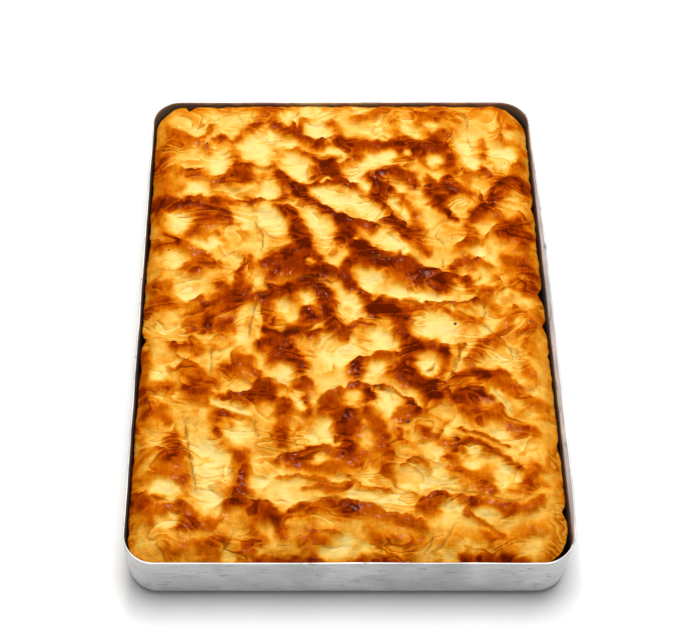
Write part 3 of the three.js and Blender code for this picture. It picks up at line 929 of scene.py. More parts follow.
    def browned(self, x: np.ndarray, y: np.ndarray) -> np.ndarray:
        """Gives how brown each place is.

        Args:
            x: The places' x, mm.
            y: The places' y, mm.

        Returns:
            From 0 for cream to 1 for scorched, for each place.
        """
        wx, wy = self.strayed(x, y)
        crumple = self.crumple(x, y)
        lap, strength = self.lapped(x, y)
        laps = 0.32 * (lap**3 - 0.28) * strength
        mottle = 0.07 * self.noise[6].at(x, y, 21.0) + 0.08 * crumple + laps
        edge = 0.20 * eased(18, 2, self.edge_distance(x, y))
        band = eased(-self.half_length + self.front_band, -self.half_length + 22, y)
        base = np.maximum(0.22 + mottle + edge, (0.36 + mottle * 0.8) * band)
        kept = np.ones_like(x)
        for fold in FOLDS:
            near, share = self.fold_shares(wx, wy, fold)
            share = abs(share) * (1 - 0.14 * crumple[near])
            kept[near] *= 1 - 0.93 * fold.browned * np.exp(-0.6 * share**3.2)
        pale = np.ones_like(x)
        for hollow in HOLLOWS:
            reading = read_line(wx, wy, hollow.places, 24.0)
            share = reading.distance / reading.width * (1 + 0.12 * crumple[reading.near])
            pale[reading.near] *= 1 - hollow.paleness * np.exp(-0.5 * abs(share) ** 3.2)
        return np.clip((1 - (1 - base) * kept) * (0.08 + 0.92 * pale), 0, 1)


# ---- Modelling by hand --------------------------------------------------------------------------------


class Part(Enum):
    """What is picked in edit mode."""

    VERTICES = "VERT"
    EDGES = "EDGE"
    FACES = "FACE"


class Bench:
    """Models pieces with operators, one at a time."""

    @staticmethod
    def clear() -> None:
        """Deselects everything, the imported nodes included."""
        if bpy.context.object and bpy.context.object.mode != "OBJECT":
            bpy.ops.object.mode_set(mode="OBJECT")
        bpy.ops.object.select_all(action="DESELECT")

    @classmethod
    def start(cls, name: str, primitive: Callable[..., object], **sizes: object) -> bpy.types.Object:
        """Adds a primitive and names it.

        Args:
            name: The piece's name.
            primitive: The operator that adds it.
            **sizes: What the operator is told.

        Returns:
            The new piece, alone selected.
        """
        cls.clear()
        primitive(**sizes)
        piece = bpy.context.object
        piece.name = piece.data.name = name
        return piece

    @classmethod
    def settle(cls, piece: bpy.types.Object) -> None:
        """Puts a piece's place, turn and size into its mesh.

        Args:
            piece: The piece.
        """
        cls.clear()
        piece.select_set(True)
        bpy.context.view_layer.objects.active = piece
        bpy.ops.object.transform_apply(location=True, rotation=True, scale=True)

    @classmethod
    def pick(cls, piece: bpy.types.Object, part: Part, test: Callable[[Vector], bool]) -> int:
        """Goes into edit mode with the parts picked whose middle passes a test.

        Args:
            piece: The piece to edit.
            part: What is picked.
            test: Says of a middle, in metres, whether it is picked.

        Returns:
            How many are picked.
        """
        cls.clear()
        piece.select_set(True)
        bpy.context.view_layer.objects.active = piece
        bpy.ops.object.mode_set(mode="EDIT")
        bpy.ops.mesh.select_mode(type=part.value)
        bpy.ops.mesh.select_all(action="DESELECT")
        bpy.ops.object.mode_set(mode="OBJECT")
        mesh = piece.data
        corners = [vertex.co for vertex in mesh.vertices]
        if part is Part.VERTICES:
            elements, middles = mesh.vertices, corners
        elif part is Part.EDGES:
            elements = mesh.edges
            middles = [(corners[edge.vertices[0]] + corners[edge.vertices[1]]) / 2 for edge in elements]
        else:
            elements, middles = mesh.polygons, [polygon.center for polygon in mesh.polygons]
        chosen = [test(middle) for middle in middles]
        elements.foreach_set("select", chosen)
        bpy.ops.object.mode_set(mode="EDIT")
        return sum(chosen)

    @classmethod
    def apply(cls, piece: bpy.types.Object, kind: str, **settings: object) -> None:
        """Adds a modifier to a piece, sets it and applies it.

        Args:
            piece: The piece.
            kind: The modifier's type.
            **settings: Its settings.
        """
        cls.clear()
        piece.select_set(True)
        bpy.context.view_layer.objects.active = piece
        modifier = piece.modifiers.new(kind.title(), kind)
        for name, value in settings.items():
            setattr(modifier, name, value)
        bpy.ops.object.modifier_apply(modifier=modifier.name)

    @classmethod
    def raise_by(cls, piece: bpy.types.Object, name: str, heights: np.ndarray, sign: int = 1) -> None:
        """Lifts or sinks the surface, each vertex by its own height, with a Displace modifier.

        Args:
            piece: The piece.
            name: What the height is, which names the vertex group that carries it.
            heights: The heights, mm, none below 0.
            sign: 1 to lift, -1 to sink.
        """
        most = float(heights.max())
        group = piece.vertex_groups.new(name=name)
        for index, weight in enumerate((heights / most).tolist()):
            group.add([index], weight, "REPLACE")
        cls.apply(
            piece,
            "DISPLACE",
            direction="Z",
            mid_level=0.0,
            strength=sign * most * MM,
            vertex_group=name,
        )
        piece.vertex_groups.clear()

    @staticmethod
    def places(piece: bpy.types.Object) -> np.ndarray:
        """Gives the places of the piece's vertices.

        Args:
            piece: The piece.

        Returns:
            The places, mm, one row each.
        """
        flat = np.zeros(len(piece.data.vertices) * 3)
        piece.data.vertices.foreach_get("co", flat)
        return flat.reshape(-1, 3) / MM

    @staticmethod
    def move_to(piece: bpy.types.Object, places: np.ndarray) -> None:
        """Moves the piece's vertices, given in mm, one row each."""
        piece.data.vertices.foreach_set("co", (places * MM).ravel())
        piece.data.update()

    @staticmethod
    def paint(piece: bpy.types.Object, name: str, values: np.ndarray) -> None:
        """Stores one number for each vertex, for the finish to read.

        Args:
            piece: The piece.
            name: What the numbers are called.
            values: The numbers.
        """
        layer = piece.data.attributes.new(name, "FLOAT", "POINT")
        layer.data.foreach_set("value", np.asarray(values, np.float32))

    @classmethod
    def smooth(cls, piece: bpy.types.Object, degrees: float) -> None:
        """Shades a piece smooth, apart from edges sharper than an angle."""
        cls.settle(piece)
        bpy.ops.object.shade_smooth_by_angle(angle=math.radians(degrees))

    @staticmethod
    def hand_over(piece: bpy.types.Object, slot: str, finish: bpy.types.Material, *nodes: str) -> None:
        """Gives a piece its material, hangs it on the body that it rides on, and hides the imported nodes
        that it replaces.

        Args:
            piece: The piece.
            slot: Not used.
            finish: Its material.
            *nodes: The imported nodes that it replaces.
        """
        piece.data.materials.clear()
        piece.data.materials.append(finish)
        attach(piece, BODY)
        if nodes:
            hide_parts(*nodes)
        triangles = sum(len(polygon.vertices) - 2 for polygon in piece.data.polygons)
        log.info("%s: %d triangles", piece.name, triangles)


# ---- Finishes -----------------------------------------------------------------------------------------


def paint(code: str) -> tuple[float, float, float, float]:
    """Turns a written colour into the shader's own numbers.

    Args:
        code: The colour, as "#rrggbb".

    Returns:
        Its red, green and blue, and 1 for solid.
    """
    shares = [int(code[k : k + 2], 16) / 255 for k in (1, 3, 5)]
    linear = [s / 12.92 if s <= 0.04045 else ((s + 0.055) / 1.055) ** 2.4 for s in shares]
    return (*linear, 1.0)


class Wiring:
    """Adds and joins the nodes of one material or node group."""

    def __init__(self, tree: bpy.types.NodeTree) -> None:
        """Starts on an empty tree.

        Args:
            tree: The material's or the group's tree.
        """
        self.tree = tree
        tree.nodes.clear()

    def node(self, kind: str, **settings: object) -> bpy.types.Node:
        """Adds a node.

        Args:
            kind: Its type.
            **settings: Its settings, apart from its sockets.

        Returns:
            The node.
        """
        node = self.tree.nodes.new(kind)
        for name, value in settings.items():
            setattr(node, name, value)
        return node

    def feed(self, socket: bpy.types.NodeSocket, value: object) -> None:
        """Joins a socket to another, or sets it to a plain value.

        Args:
            socket: The socket that is fed.
            value: A socket or a plain value.
        """
        if isinstance(value, bpy.types.NodeSocket):
            self.tree.links.new(value, socket)
        else:
            socket.default_value = value

    def sum(self, operation: str, *values: object, clamp: bool = False) -> bpy.types.NodeSocket:
        """Works out one number from others.

        Args:
            operation: What is done.
            *values: Numbers or sockets.
            clamp: Whether the answer stays between 0 and 1.

        Returns:
            The answer's socket.
        """
        node = self.node("ShaderNodeMath", operation=operation, use_clamp=clamp)
        for socket, value in zip(node.inputs, values):
            self.feed(socket, value)
        return node.outputs[0]

    def span(self, value: object, low: float, high: float, to_low: float = 0, to_high: float = 1) -> object:
        """Carries a value from one span to another, smoothly and no further.

        Args:
            value: The value.
            low: Where its span starts.
            high: Where its span ends.
            to_low: What the start becomes.
            to_high: What the end becomes.

        Returns:
            The answer's socket.
        """
        node = self.node("ShaderNodeMapRange", interpolation_type="SMOOTHSTEP")
        for socket, given in zip(node.inputs, (value, low, high, to_low, to_high)):
            self.feed(socket, given)
        return node.outputs[0]

    def blend(self, share: object, first: object, second: object, kind: str = "MIX") -> bpy.types.NodeSocket:
        """Mixes two colours.

        Args:
            share: How much of the second.
            first: The first colour.
            second: The second colour.
            kind: How they are mixed.

        Returns:
            The colour's socket.
        """
        node = self.node("ShaderNodeMix", data_type="RGBA", blend_type=kind)
        self.feed(node.inputs[0], share)
        self.feed(node.inputs[6], first)
        self.feed(node.inputs[7], second)
        return node.outputs[2]

    def noise(self, vector: object, scale: float, detail: float = 2, distortion: float = 0) -> object:
        """Adds a noise texture and gives its value.

        Args:
            vector: The place that it reads.
            scale: Features a metre.
            detail: How many finer layers it has.
            distortion: How much it is stirred.

        Returns:
            The value's socket.
        """
        node = self.node("ShaderNodeTexNoise")
        self.feed(node.inputs["Vector"], vector)
        self.feed(node.inputs["Scale"], scale)
        self.feed(node.inputs["Detail"], detail)
        self.feed(node.inputs["Distortion"], distortion)
        return node.outputs["Fac"]

    def stretched(
        self, vector: object, x: float, y: float, z: float, turn: float = 0
    ) -> bpy.types.NodeSocket:
        """Stretches and turns a pattern, by changing the places that it reads.

        Args:
            vector: The place.
            x: What its x is multiplied by.
            y: What its y is multiplied by.
            z: What its z is multiplied by.
            turn: How far it is turned about Z, degrees.

        Returns:
            The changed place's socket.
        """
        node = self.node("ShaderNodeMapping")
        self.feed(node.inputs["Vector"], vector)
        node.inputs["Rotation"].default_value = (0, 0, math.radians(turn))
        node.inputs["Scale"].default_value = (x, y, z)
        return node.outputs[0]

    def ramp(self, value: object, stops: Iterable[tuple[float, str]]) -> bpy.types.NodeSocket:
        """Turns a value into a colour through some stops.

        Args:
            value: The value, from 0 to 1.
            stops: The stops, each a place from 0 to 1 and a colour.

        Returns:
            The colour's socket.
        """
        node = self.node("ShaderNodeValToRGB")
        self.feed(node.inputs[0], value)
        elements = node.color_ramp.elements
        stops = list(stops)
        while len(elements) < len(stops):
            elements.new(0.5)
        for element, (place, colour) in zip(elements, stops):
            element.position = place
            element.color = paint(colour)
        return node.outputs[0]

    def stored(self, name: str) -> bpy.types.NodeSocket:
        """Reads a number that the mesh stores for each vertex."""
        return self.node("ShaderNodeAttribute", attribute_name=name).outputs["Fac"]

    def here(self) -> bpy.types.NodeSocket:
        """Gives the place on the piece."""
        return self.node("ShaderNodeTexCoord").outputs["Object"]

    def group(self, tree: bpy.types.NodeTree, **values: object) -> bpy.types.NodeSocket:
        """Adds a shared effect with its own values.

        Args:
            tree: The effect.
            **values: What its inputs are given, by their names.

        Returns:
            Its first output.
        """
        node = self.node("ShaderNodeGroup", node_tree=tree)
        for name, value in values.items():
            self.feed(node.inputs[name.replace("_", " ").capitalize()], value)
        return node.outputs[0]

    def bump(self, height: object, distance: float, strength: float = 1.0, normal: object = None) -> object:
        """Turns a height into a normal.

        Args:
            height: The height.
            distance: How far a height of 1 stands out, mm.
            strength: How much of it shows.
            normal: A normal that it is laid over.

        Returns:
            The normal's socket.
        """
        node = self.node("ShaderNodeBump")
        node.inputs["Strength"].default_value = strength
        node.inputs["Distance"].default_value = distance * MM
        self.feed(node.inputs["Height"], height)
        if normal is not None:
            self.feed(node.inputs["Normal"], normal)
        return node.outputs[0]

    def shader(self, **values: object) -> bpy.types.Node:
        """Adds the material's shader and its output.

        Args:
            **values: Its sockets, with underscores for spaces.

        Returns:
            The shader.
        """
        node = self.node("ShaderNodeBsdfPrincipled")
        for name, value in values.items():
            self.feed(node.inputs[name.replace("_", " ")], value)
        output = self.node("ShaderNodeOutputMaterial")
        self.tree.links.new(node.outputs[0], output.inputs[0])
        return node


class SharedEffects:
    """Effects that more than one finish uses, each a node group built once."""

    def __init__(self) -> None:
        """Builds the groups."""
        self.mottling = self._mottling()
        self.grain = self._grain()

    @staticmethod
    def _begin(
        name: str, inputs: Sequence[tuple[str, str, float]], output: str
    ) -> tuple[Wiring, object, object]:
        """Starts a group.

        Args:
            name: The group's name.
            inputs: Each input's name, socket type and first value.
            output: The output's name.

        Returns:
            The wiring, the input node's outputs and the output node's input.
        """
        tree = bpy.data.node_groups.new(name, "ShaderNodeTree")
        wiring = Wiring(tree)
        for label, kind, value in inputs:
            socket = tree.interface.new_socket(label, in_out="INPUT", socket_type=kind)
            if kind == "NodeSocketFloat":
                socket.default_value = value
        tree.interface.new_socket(output, in_out="OUTPUT", socket_type="NodeSocketFloat")
        given = wiring.node("NodeGroupInput").outputs
        answer = wiring.node("NodeGroupOutput").inputs[0]
        return wiring, given, answer

    def _mottling(self) -> bpy.types.NodeTree:
        """Makes soft patches: 0 and 1 with a soft border, more or less of it by its amount.

        Returns:
            The effect.
        """
        sockets = [
            ("Vector", "NodeSocketVector", 0),
            ("Scale", "NodeSocketFloat", 60.0),
            ("Amount", "NodeSocketFloat", 0.5),
            ("Softness", "NodeSocketFloat", 0.2),
        ]
        wiring, given, answer = self._begin("mottling", sockets, "Mask")
        noise = wiring.noise(given["Vector"], given["Scale"], 4, 0.4)
        start = wiring.sum("SUBTRACT", 1.0, given["Amount"])
        low = wiring.sum("SUBTRACT", start, given["Softness"])
        high = wiring.sum("ADD", start, given["Softness"])
        wiring.feed(answer, wiring.span(noise, low, high))
        return wiring.tree

    def _grain(self) -> bpy.types.NodeTree:
        """Makes fine relief: a leathery grain with finer pits in it.

        Returns:
            The effect.
        """
        sockets = [("Vector", "NodeSocketVector", 0), ("Scale", "NodeSocketFloat", 400.0)]
        wiring, given, answer = self._begin("fine_grain", sockets, "Height")
        coarse = wiring.noise(given["Vector"], given["Scale"], 3, 0.6)
        finer = wiring.noise(given["Vector"], wiring.sum("MULTIPLY", given["Scale"], 3.1), 2, 0)
        wiring.feed(answer, wiring.sum("MULTIPLY_ADD", finer, 0.35, coarse))
        return wiring.tree


def new_material(name: str) -> tuple[bpy.types.Material, Wiring]:
    """Starts a material made of nodes.

    Args:
        name: Its name.

    Returns:
        The material and its wiring.
    """
    material = bpy.data.materials.new(name)
    material.use_nodes = True
    return material, Wiring(material.node_tree)


@dataclass(frozen=True)
class BakedPastry:
    """Egg-washed filo as it comes out of the oven.

    Attributes:
        tones: Its colour as it browns, each stop a browning from 0 to 1 and a colour.
        painted_shade_lines: The colour of the shade painted into its creases and beside its lips' free edges.
        grain: How far its leathery grain stands out, mm.
        wrinkles: How far the fine wrinkles drawn across it stand out, mm.
        blisters: How far the blisters on its browned folds stand out, mm.
        leaf: How far the free edges of its thinnest leaves stand out, mm.
        leaves: How many of them lie between the lowest and the highest of their hills.
    """

    tones: tuple[tuple[float, str], ...] = (
        (0.00, "#ebcf80"),
        (0.14, "#e8bd5c"),
        (0.30, "#e09d33"),
        (0.46, "#d27d10"),
        (0.62, "#bc5902"),
        (0.80, "#963200"),
        (1.00, "#5a1600"),
    )
    # The colour of the shade painted into creases and beside lips.
    painted_shade_lines: str = "#743c06"
    grain: float = 0.10
    wrinkles: float = 0.65
    blisters: float = 0.22
    leaf: float = 0.5
    leaves: float = 6.5

    def build(self, effects: SharedEffects) -> bpy.types.Material:
        """Makes the material.

        Args:
            effects: The shared effects.

        Returns:
            The material.
        """
        material, wiring = new_material("baked_pastry")
        here = wiring.here()
        browned = wiring.stored("browned")
        fine = wiring.noise(here, 330.0, 3, 0.8)
        patchy = wiring.sum("MULTIPLY_ADD", wiring.sum("SUBTRACT", fine, 0.5), 0.16, browned)
        streaks = wiring.noise(wiring.stretched(here, 1.0, 0.4, 0.3, 16), 440.0, 3, 0.5)
        feather = wiring.span(browned, 0.18, 0.45, 0.10, 0.26)
        toned = wiring.sum("MULTIPLY_ADD", wiring.sum("SUBTRACT", streaks, 0.5), feather, patchy)
        leaf = self._leaves(wiring, here, effects)
        toned = wiring.sum("MULTIPLY_ADD", wiring.sum("SUBTRACT", leaf, 0.22), 0.24, toned, clamp=True)
        colour = wiring.ramp(toned, self.tones)
        freckle = wiring.group(effects.mottling, vector=here, scale=900.0, amount=0.33, softness=0.05)
        freckled = wiring.sum("MULTIPLY", freckle, wiring.span(browned, 0.25, 0.6, 0.0, 0.35))
        colour = wiring.blend(freckled, colour, paint("#7a350c"))
        # Painted shade: the crease lines and the shadow lines beside the lips are darkened towards the shade
        # colour.
        shade_line_share = wiring.sum("MULTIPLY", wiring.stored("painted_shade_lines"), 0.75)
        colour = wiring.blend(shade_line_share, colour, paint(self.painted_shade_lines))
        grain = wiring.group(effects.grain, vector=here, scale=210.0)
        cells = wiring.node("ShaderNodeTexVoronoi", feature="SMOOTH_F1")
        wiring.feed(cells.inputs["Vector"], wiring.stretched(here, 1.0, 0.7, 1.0, -20))
        cells.inputs["Scale"].default_value = 260.0
        cells.inputs["Smoothness"].default_value = 0.6
        dome = wiring.span(cells.outputs["Distance"], 0.55, 0.05)
        few = wiring.group(effects.mottling, vector=here, scale=70.0, amount=0.47, softness=0.06)
        blistered = wiring.sum("MULTIPLY", few, wiring.span(browned, 0.35, 0.75))
        height = wiring.sum("MULTIPLY", dome, blistered)
        drawn = wiring.noise(wiring.stretched(here, 0.3, 1.0, 0.3, 38), 330.0, 3, 1.2)
        normal = wiring.bump(drawn, self.wrinkles)
        normal = wiring.bump(leaf, self.leaf, 1.0, normal)
        normal = wiring.bump(grain, self.grain, 1.0, normal)
        normal = wiring.bump(height, self.blisters, 0.8, normal)
        gloss = wiring.span(browned, 0.1, 0.8, 0.44, 0.30)
        washed = wiring.group(effects.mottling, vector=here, scale=58.0, amount=0.44, softness=0.05)
        beads = wiring.group(effects.mottling, vector=here, scale=360.0, amount=0.46, softness=0.06)
        glossy = wiring.sum("MULTIPLY", washed, beads)
        wiring.shader(
            Base_Color=colour,
            Roughness=gloss,
            Normal=normal,
            Coat_Weight=wiring.sum("MULTIPLY", glossy, wiring.span(browned, 0.15, 0.6, 0.05, 0.26)),
            Coat_Roughness=0.14,
            Specular_IOR_Level=0.0,
        )
        return material

    def _leaves(self, wiring: Wiring, here: object, effects: SharedEffects) -> object:
        """Draws thin leaves that lap over each other: each rises slowly to its free edge and ends there.

        Args:
            wiring: The material's wiring.
            here: The place on the piece.
            effects: The shared effects.

        Returns:
            The leaves' height, from 0 to 1.
        """
        hills = wiring.noise(wiring.stretched(here, 0.5, 1.0, 0.3, 28), 50.0, 2, 0.9)
        share = wiring.sum("FRACT", wiring.sum("MULTIPLY", hills, self.leaves))
        saw = wiring.sum("MULTIPLY", wiring.span(share, 0.0, 0.80), wiring.span(share, 1.0, 0.80))
        lifted = wiring.group(effects.mottling, vector=here, scale=38.0, amount=0.52, softness=0.10)
        return wiring.sum("MULTIPLY", saw, lifted)


@dataclass(frozen=True)
class TinSheet:
    """Old aluminium sheet: dull and streaked outside, with baked-on grease inside above the pie.

    Attributes:
        metal: Its colour where it is clean.
        worn: Its colour in the scuffs.
        grease: The colour of the baked-on grease.
        gap_dark: The colour that the inner wall darkens to deeper down, in the gap beside the pie.
    """

    metal: str = "#dcdcdc"
    worn: str = "#6f6d6b"
    grease: str = "#7d6a55"
    gap_dark: str = "#2c1509"

    def build(self, effects: SharedEffects) -> bpy.types.Material:
        """Makes the material.

        Args:
            effects: The shared effects.

        Returns:
            The material.
        """
        material, wiring = new_material("tin_sheet")
        here = wiring.here()
        drawn = wiring.noise(wiring.stretched(here, 0.03, 0.03, 1.0), 1500.0, 3, 0.1)
        cloudy = wiring.noise(here, 28.0, 4, 0.6)
        colour = wiring.blend(wiring.span(cloudy, 0.3, 0.75), paint(self.metal), paint("#b6b7b9"))
        colour = wiring.blend(wiring.span(drawn, 0.40, 0.75, 0.0, 0.55), colour, paint("#8f9092"))
        scratched = wiring.stretched(here, 0.22, 0.22, 1.0)
        scuffs = wiring.group(effects.mottling, vector=scratched, scale=420.0, amount=0.35, softness=0.03)
        colour = wiring.blend(wiring.sum("MULTIPLY", scuffs, 0.6), colour, paint(self.worn))
        inside = wiring.stored("inside")
        depth = wiring.stored("depth")
        ragged = wiring.noise(here, 120.0, 4, 0.8)
        line = wiring.sum("MULTIPLY_ADD", wiring.sum("SUBTRACT", ragged, 0.5), 3.0, depth)
        stained = wiring.sum("MULTIPLY", inside, wiring.span(line, 0.6, 2.6, 0.1, 0.9))
        # From 7 to 15 mm below the rim the inner wall goes from the grease colour to a much darker colour,
        # down in the gap beside the pie.
        stain = wiring.blend(wiring.span(line, 7.0, 15.0), paint(self.grease), paint(self.gap_dark))
        colour = wiring.blend(stained, colour, stain)
        metallic = wiring.sum("SUBTRACT", 0.3, wiring.sum("MULTIPLY", stained, 0.25), clamp=True)
        rough = wiring.sum("MULTIPLY_ADD", drawn, 0.16, wiring.span(cloudy, 0.3, 0.7, 0.30, 0.40))
        grain = wiring.group(effects.grain, vector=here, scale=620.0)
        relief = wiring.sum("MULTIPLY_ADD", drawn, 0.8, grain)
        wiring.shader(
            Base_Color=colour,
            Metallic=metallic,
            Roughness=rough,
            Normal=wiring.bump(relief, 0.05),
        )
        return material


@dataclass(frozen=True)
class PlainFinish:
    """A finish of one tone with soft mottling in it.

    Attributes:
        name: The material's name.
        colour: Its tone.
        shade: The tone in its patches.
        roughness: How rough it is.
        scale: The patches' size, as features a metre.
        relief: How far its grain stands out, mm.
    """

    name: str
    colour: str
    shade: str
    roughness: float
    scale: float
    relief: float = 0.05

    def build(self, effects: SharedEffects) -> bpy.types.Material:
        """Makes the material.

        Args:
            effects: The shared effects.

        Returns:
            The material.
        """
        material, wiring = new_material(self.name)
        here = wiring.here()
        mask = wiring.group(effects.mottling, vector=here, scale=self.scale, amount=0.5, softness=0.2)
        grain = wiring.group(effects.grain, vector=here, scale=self.scale * 4)
        wiring.shader(
            Base_Color=wiring.blend(mask, paint(self.colour), paint(self.shade)),
            Roughness=self.roughness,
            Normal=wiring.bump(grain, self.relief),
        )
        return material


# ---- The pie ------------------------------------------------------------------------------------------


@dataclass
class FiloPie:
    """The uncut pie: a finely folded top on a plain side that stands in the tin.

    Attributes:
        low: The lowest corner of its box, mm.
        high: The highest corner of its box, mm.
        cell: The size of a facet of its top, mm.
        spread: How far its top reaches out over its box on each side, mm.
        back_spread: The same at the front and the back, mm.
        headroom: How much is added to the lifts and taken off again, so that none is below 0, mm.
        draw_range: The least and the most that its edge is drawn in, mm. The least keeps it off the
            dented tin.
        drawn_band: How far in from its edge the pastry moves with it, mm. No more than the smallest corner.
        fray: How far the finest unevenness of its edge goes, mm.
        notch_reach: How far in from its edge a notch still draws the pastry, mm.
        corner_rows: How many rows of facets a corner's turn takes.
        base_round: The radius between its side and its underside, mm.
        side_drop: How far each ring of its side is below the one before, mm.
    """

    low: np.ndarray
    high: np.ndarray
    cell: float = 1.22
    spread: float = 1.3
    back_spread: float = 1.2
    headroom: float = 6.0
    draw_range: tuple[float, float] = (0.4, 2.4)
    drawn_band: float = 20.0
    fray: float = 0.1
    notch_reach: float = 25.0
    corner_rows: int = 30
    base_round: float = 6.0
    side_drop: float = 5.0

    def __post_init__(self) -> None:
        """Works out its middle, its half sizes and its top."""
        self.middle = (self.low + self.high) / 2
        self.half_x, self.half_y = (self.high - self.low)[:2] / 2 + (self.spread, self.back_spread)
        self.top = PastryTop(self.half_x, self.half_y)

    def reach(self, side: int, y: np.ndarray) -> np.ndarray:
        """Gives how far the pie reaches to one side in each row.

        Args:
            side: 1 for the right, -1 for the left.
            y: The rows, mm about the middle.

        Returns:
            The reach of each row, mm.
        """
        radius = self.top.corner_radius(np.full_like(y, side), y)
        past = np.maximum(0, abs(y) - (self.half_y - radius))
        return self.half_x - radius + np.sqrt(np.maximum(0, radius**2 - past**2))

    def row_lines(self) -> np.ndarray:
        """Places the rows, closer together where the corners turn.

        Returns:
            The rows' places, mm about the middle.
        """
        widest = max(self.top.corners)
        straight = self.half_y - widest
        turn = straight + widest * np.sin(np.linspace(0, math.pi / 2, self.corner_rows + 1)[1:])
        between = np.linspace(-straight, straight, round(2 * straight / self.cell))
        return np.concatenate([-turn[::-1], between, turn])

    def build(self, finish: bpy.types.Material) -> bpy.types.Object:
        """Models the pie.

        Args:
            finish: The pastry's material.

        Returns:
            The piece.
        """
        rows = self.row_lines()
        columns = round(2 * self.half_x / self.cell)
        piece = Bench.start(
            "pie_crust",
            bpy.ops.mesh.primitive_grid_add,
            x_subdivisions=columns,
            y_subdivisions=len(rows) - 1,
            size=2.0,
        )
        plan = self._lay_out(piece, rows)
        x, y = plan.T
        Bench.raise_by(piece, "crown", self.top.crown(x, y))
        Bench.raise_by(piece, "folds", self.top.folded(x, y) + self.headroom)
        Bench.raise_by(piece, "hollows", self.top.sunk(x, y) + self.headroom, sign=-1)
        self._add_side(piece)
        self._tint(piece)
        Bench.smooth(piece, 60)
        Bench.hand_over(piece, "baked_pastry", finish, "pie")
        return piece

    def _lay_out(self, piece: bpy.types.Object, rows: np.ndarray) -> np.ndarray:
        """Fits the flat grid to the pie's outline.

        Args:
            piece: The grid, 2 m square.
            rows: The rows' places, mm about the middle.

        Returns:
            Each vertex's x and y, mm about the middle.
        """
        Bench.settle(piece)
        places = Bench.places(piece) * MM
        row = np.rint((places[:, 1] + 1) / 2 * (len(rows) - 1)).astype(int)
        y = rows[row]
        left, right = -self.reach(-1, y), self.reach(1, y)
        x = left + (right - left) * (places[:, 0] + 1) / 2
        x, y = self._waver(x, y)
        Bench.move_to(piece, np.stack([x + self.middle[0], y + self.middle[1], np.zeros_like(x)], axis=1))
        return np.stack([x, y], axis=1)

    def _waver(self, x: np.ndarray, y: np.ndarray) -> tuple[np.ndarray, np.ndarray]:
        """Draws the edge in a little here and there, and more at its notches.

        Args:
            x: Places' x, mm.
            y: Places' y, mm.

        Returns:
            The moved x and y, mm.
        """
        near_edge = eased(self.drawn_band, 0, self.top.edge_distance(x, y))
        draw_in = 0.6 + 0.9 * self.top.noise[3].at(x, y, 17.0) + 0.6 * self.top.noise[1].at(x, y, 6.0)
        draw_in = np.clip(draw_in, *self.draw_range) + self.fray * self.top.noise[0].at(x, y, 3.0)
        for notch in NOTCHES:
            right, back = notch.place
            across, along = x - right, y - back
            if self.half_y - abs(back) < self.half_x - abs(right):
                across, along = along, across
            away = np.hypot(along / notch.half_length, across / self.notch_reach)
            draw_in += notch.depth * np.exp(-(away**2))
        radius = self.top.corner_radius(x, y)
        past_x = np.maximum(0, abs(x) - (self.half_x - radius))
        past_y = np.maximum(0, abs(y) - (self.half_y - radius))
        inward = draw_in * near_edge / np.maximum(1e-6, np.hypot(past_x, past_y))
        return x - np.sign(x) * past_x * inward, y - np.sign(y) * past_y * inward

    def _add_side(self, piece: bpy.types.Object) -> None:
        """Extrudes the top's edge down the side, rounds it in at the bottom and closes the underside.

        Args:
            piece: The piece.
        """
        Bench.clear()
        piece.select_set(True)
        bpy.context.view_layer.objects.active = piece
        bpy.ops.object.mode_set(mode="EDIT")
        bpy.ops.mesh.select_mode(type="EDGE")
        bpy.ops.mesh.select_all(action="DESELECT")
        bpy.ops.mesh.select_non_manifold(extend=False)
        centre = tuple(self.middle[:2] * MM)
        turns = [math.radians(angle) for angle in (0, 30, 60, 90)]
        rounding = [
            (self.base_round * (1 - math.cos(turn)), self.base_round * (1 - math.sin(turn))) for turn in turns
        ]
        levels = [(0.6, None), (0.9, 34.0), (0.7, 24.0), (0.9, 14.0)]
        levels += [(0.9 + inset, self.low[2] + up) for inset, up in rounding]
        reached = 0.0
        for inset, level in levels:
            bpy.ops.mesh.extrude_region_move(TRANSFORM_OT_translate={"value": (0, 0, -self.side_drop * MM)})
            step, reached = inset - reached, inset
            shrink = (1 - step / self.half_x, 1 - step / self.half_y, 1 if level is None else 0)
            pivot = (*centre, 0 if level is None else level * MM)
            bpy.ops.transform.resize(value=shrink, center_override=pivot)
        bpy.ops.mesh.edge_face_add()
        bpy.ops.mesh.select_all(action="SELECT")
        bpy.ops.mesh.normals_make_consistent(inside=False)
        bpy.ops.object.mode_set(mode="OBJECT")

    def _tint(self, piece: bpy.types.Object) -> None:
        """Stores how brown the pie is at each vertex, and how much shade is painted there along the creases
        and lips.

        Args:
            piece: The piece.
        """
        places = Bench.places(piece) - (self.middle[0], self.middle[1], 0)
        x, y, z = places.T
        browned = self.top.browned(x, y)
        down_side = eased(42.5, 36.0, z)
        browned = browned * (1 - down_side) + (0.78 + 0.1 * self.top.noise[0].at(x + y, z, 5.0)) * down_side
        Bench.paint(piece, "browned", browned)
        # The share of painted shade along the creases and lips, kept off the side.
        Bench.paint(piece, "painted_shade_lines", self.top.painted_shade_lines(x, y) * (1 - down_side))


# ---- The tin ------------------------------------------------------------------------------------------


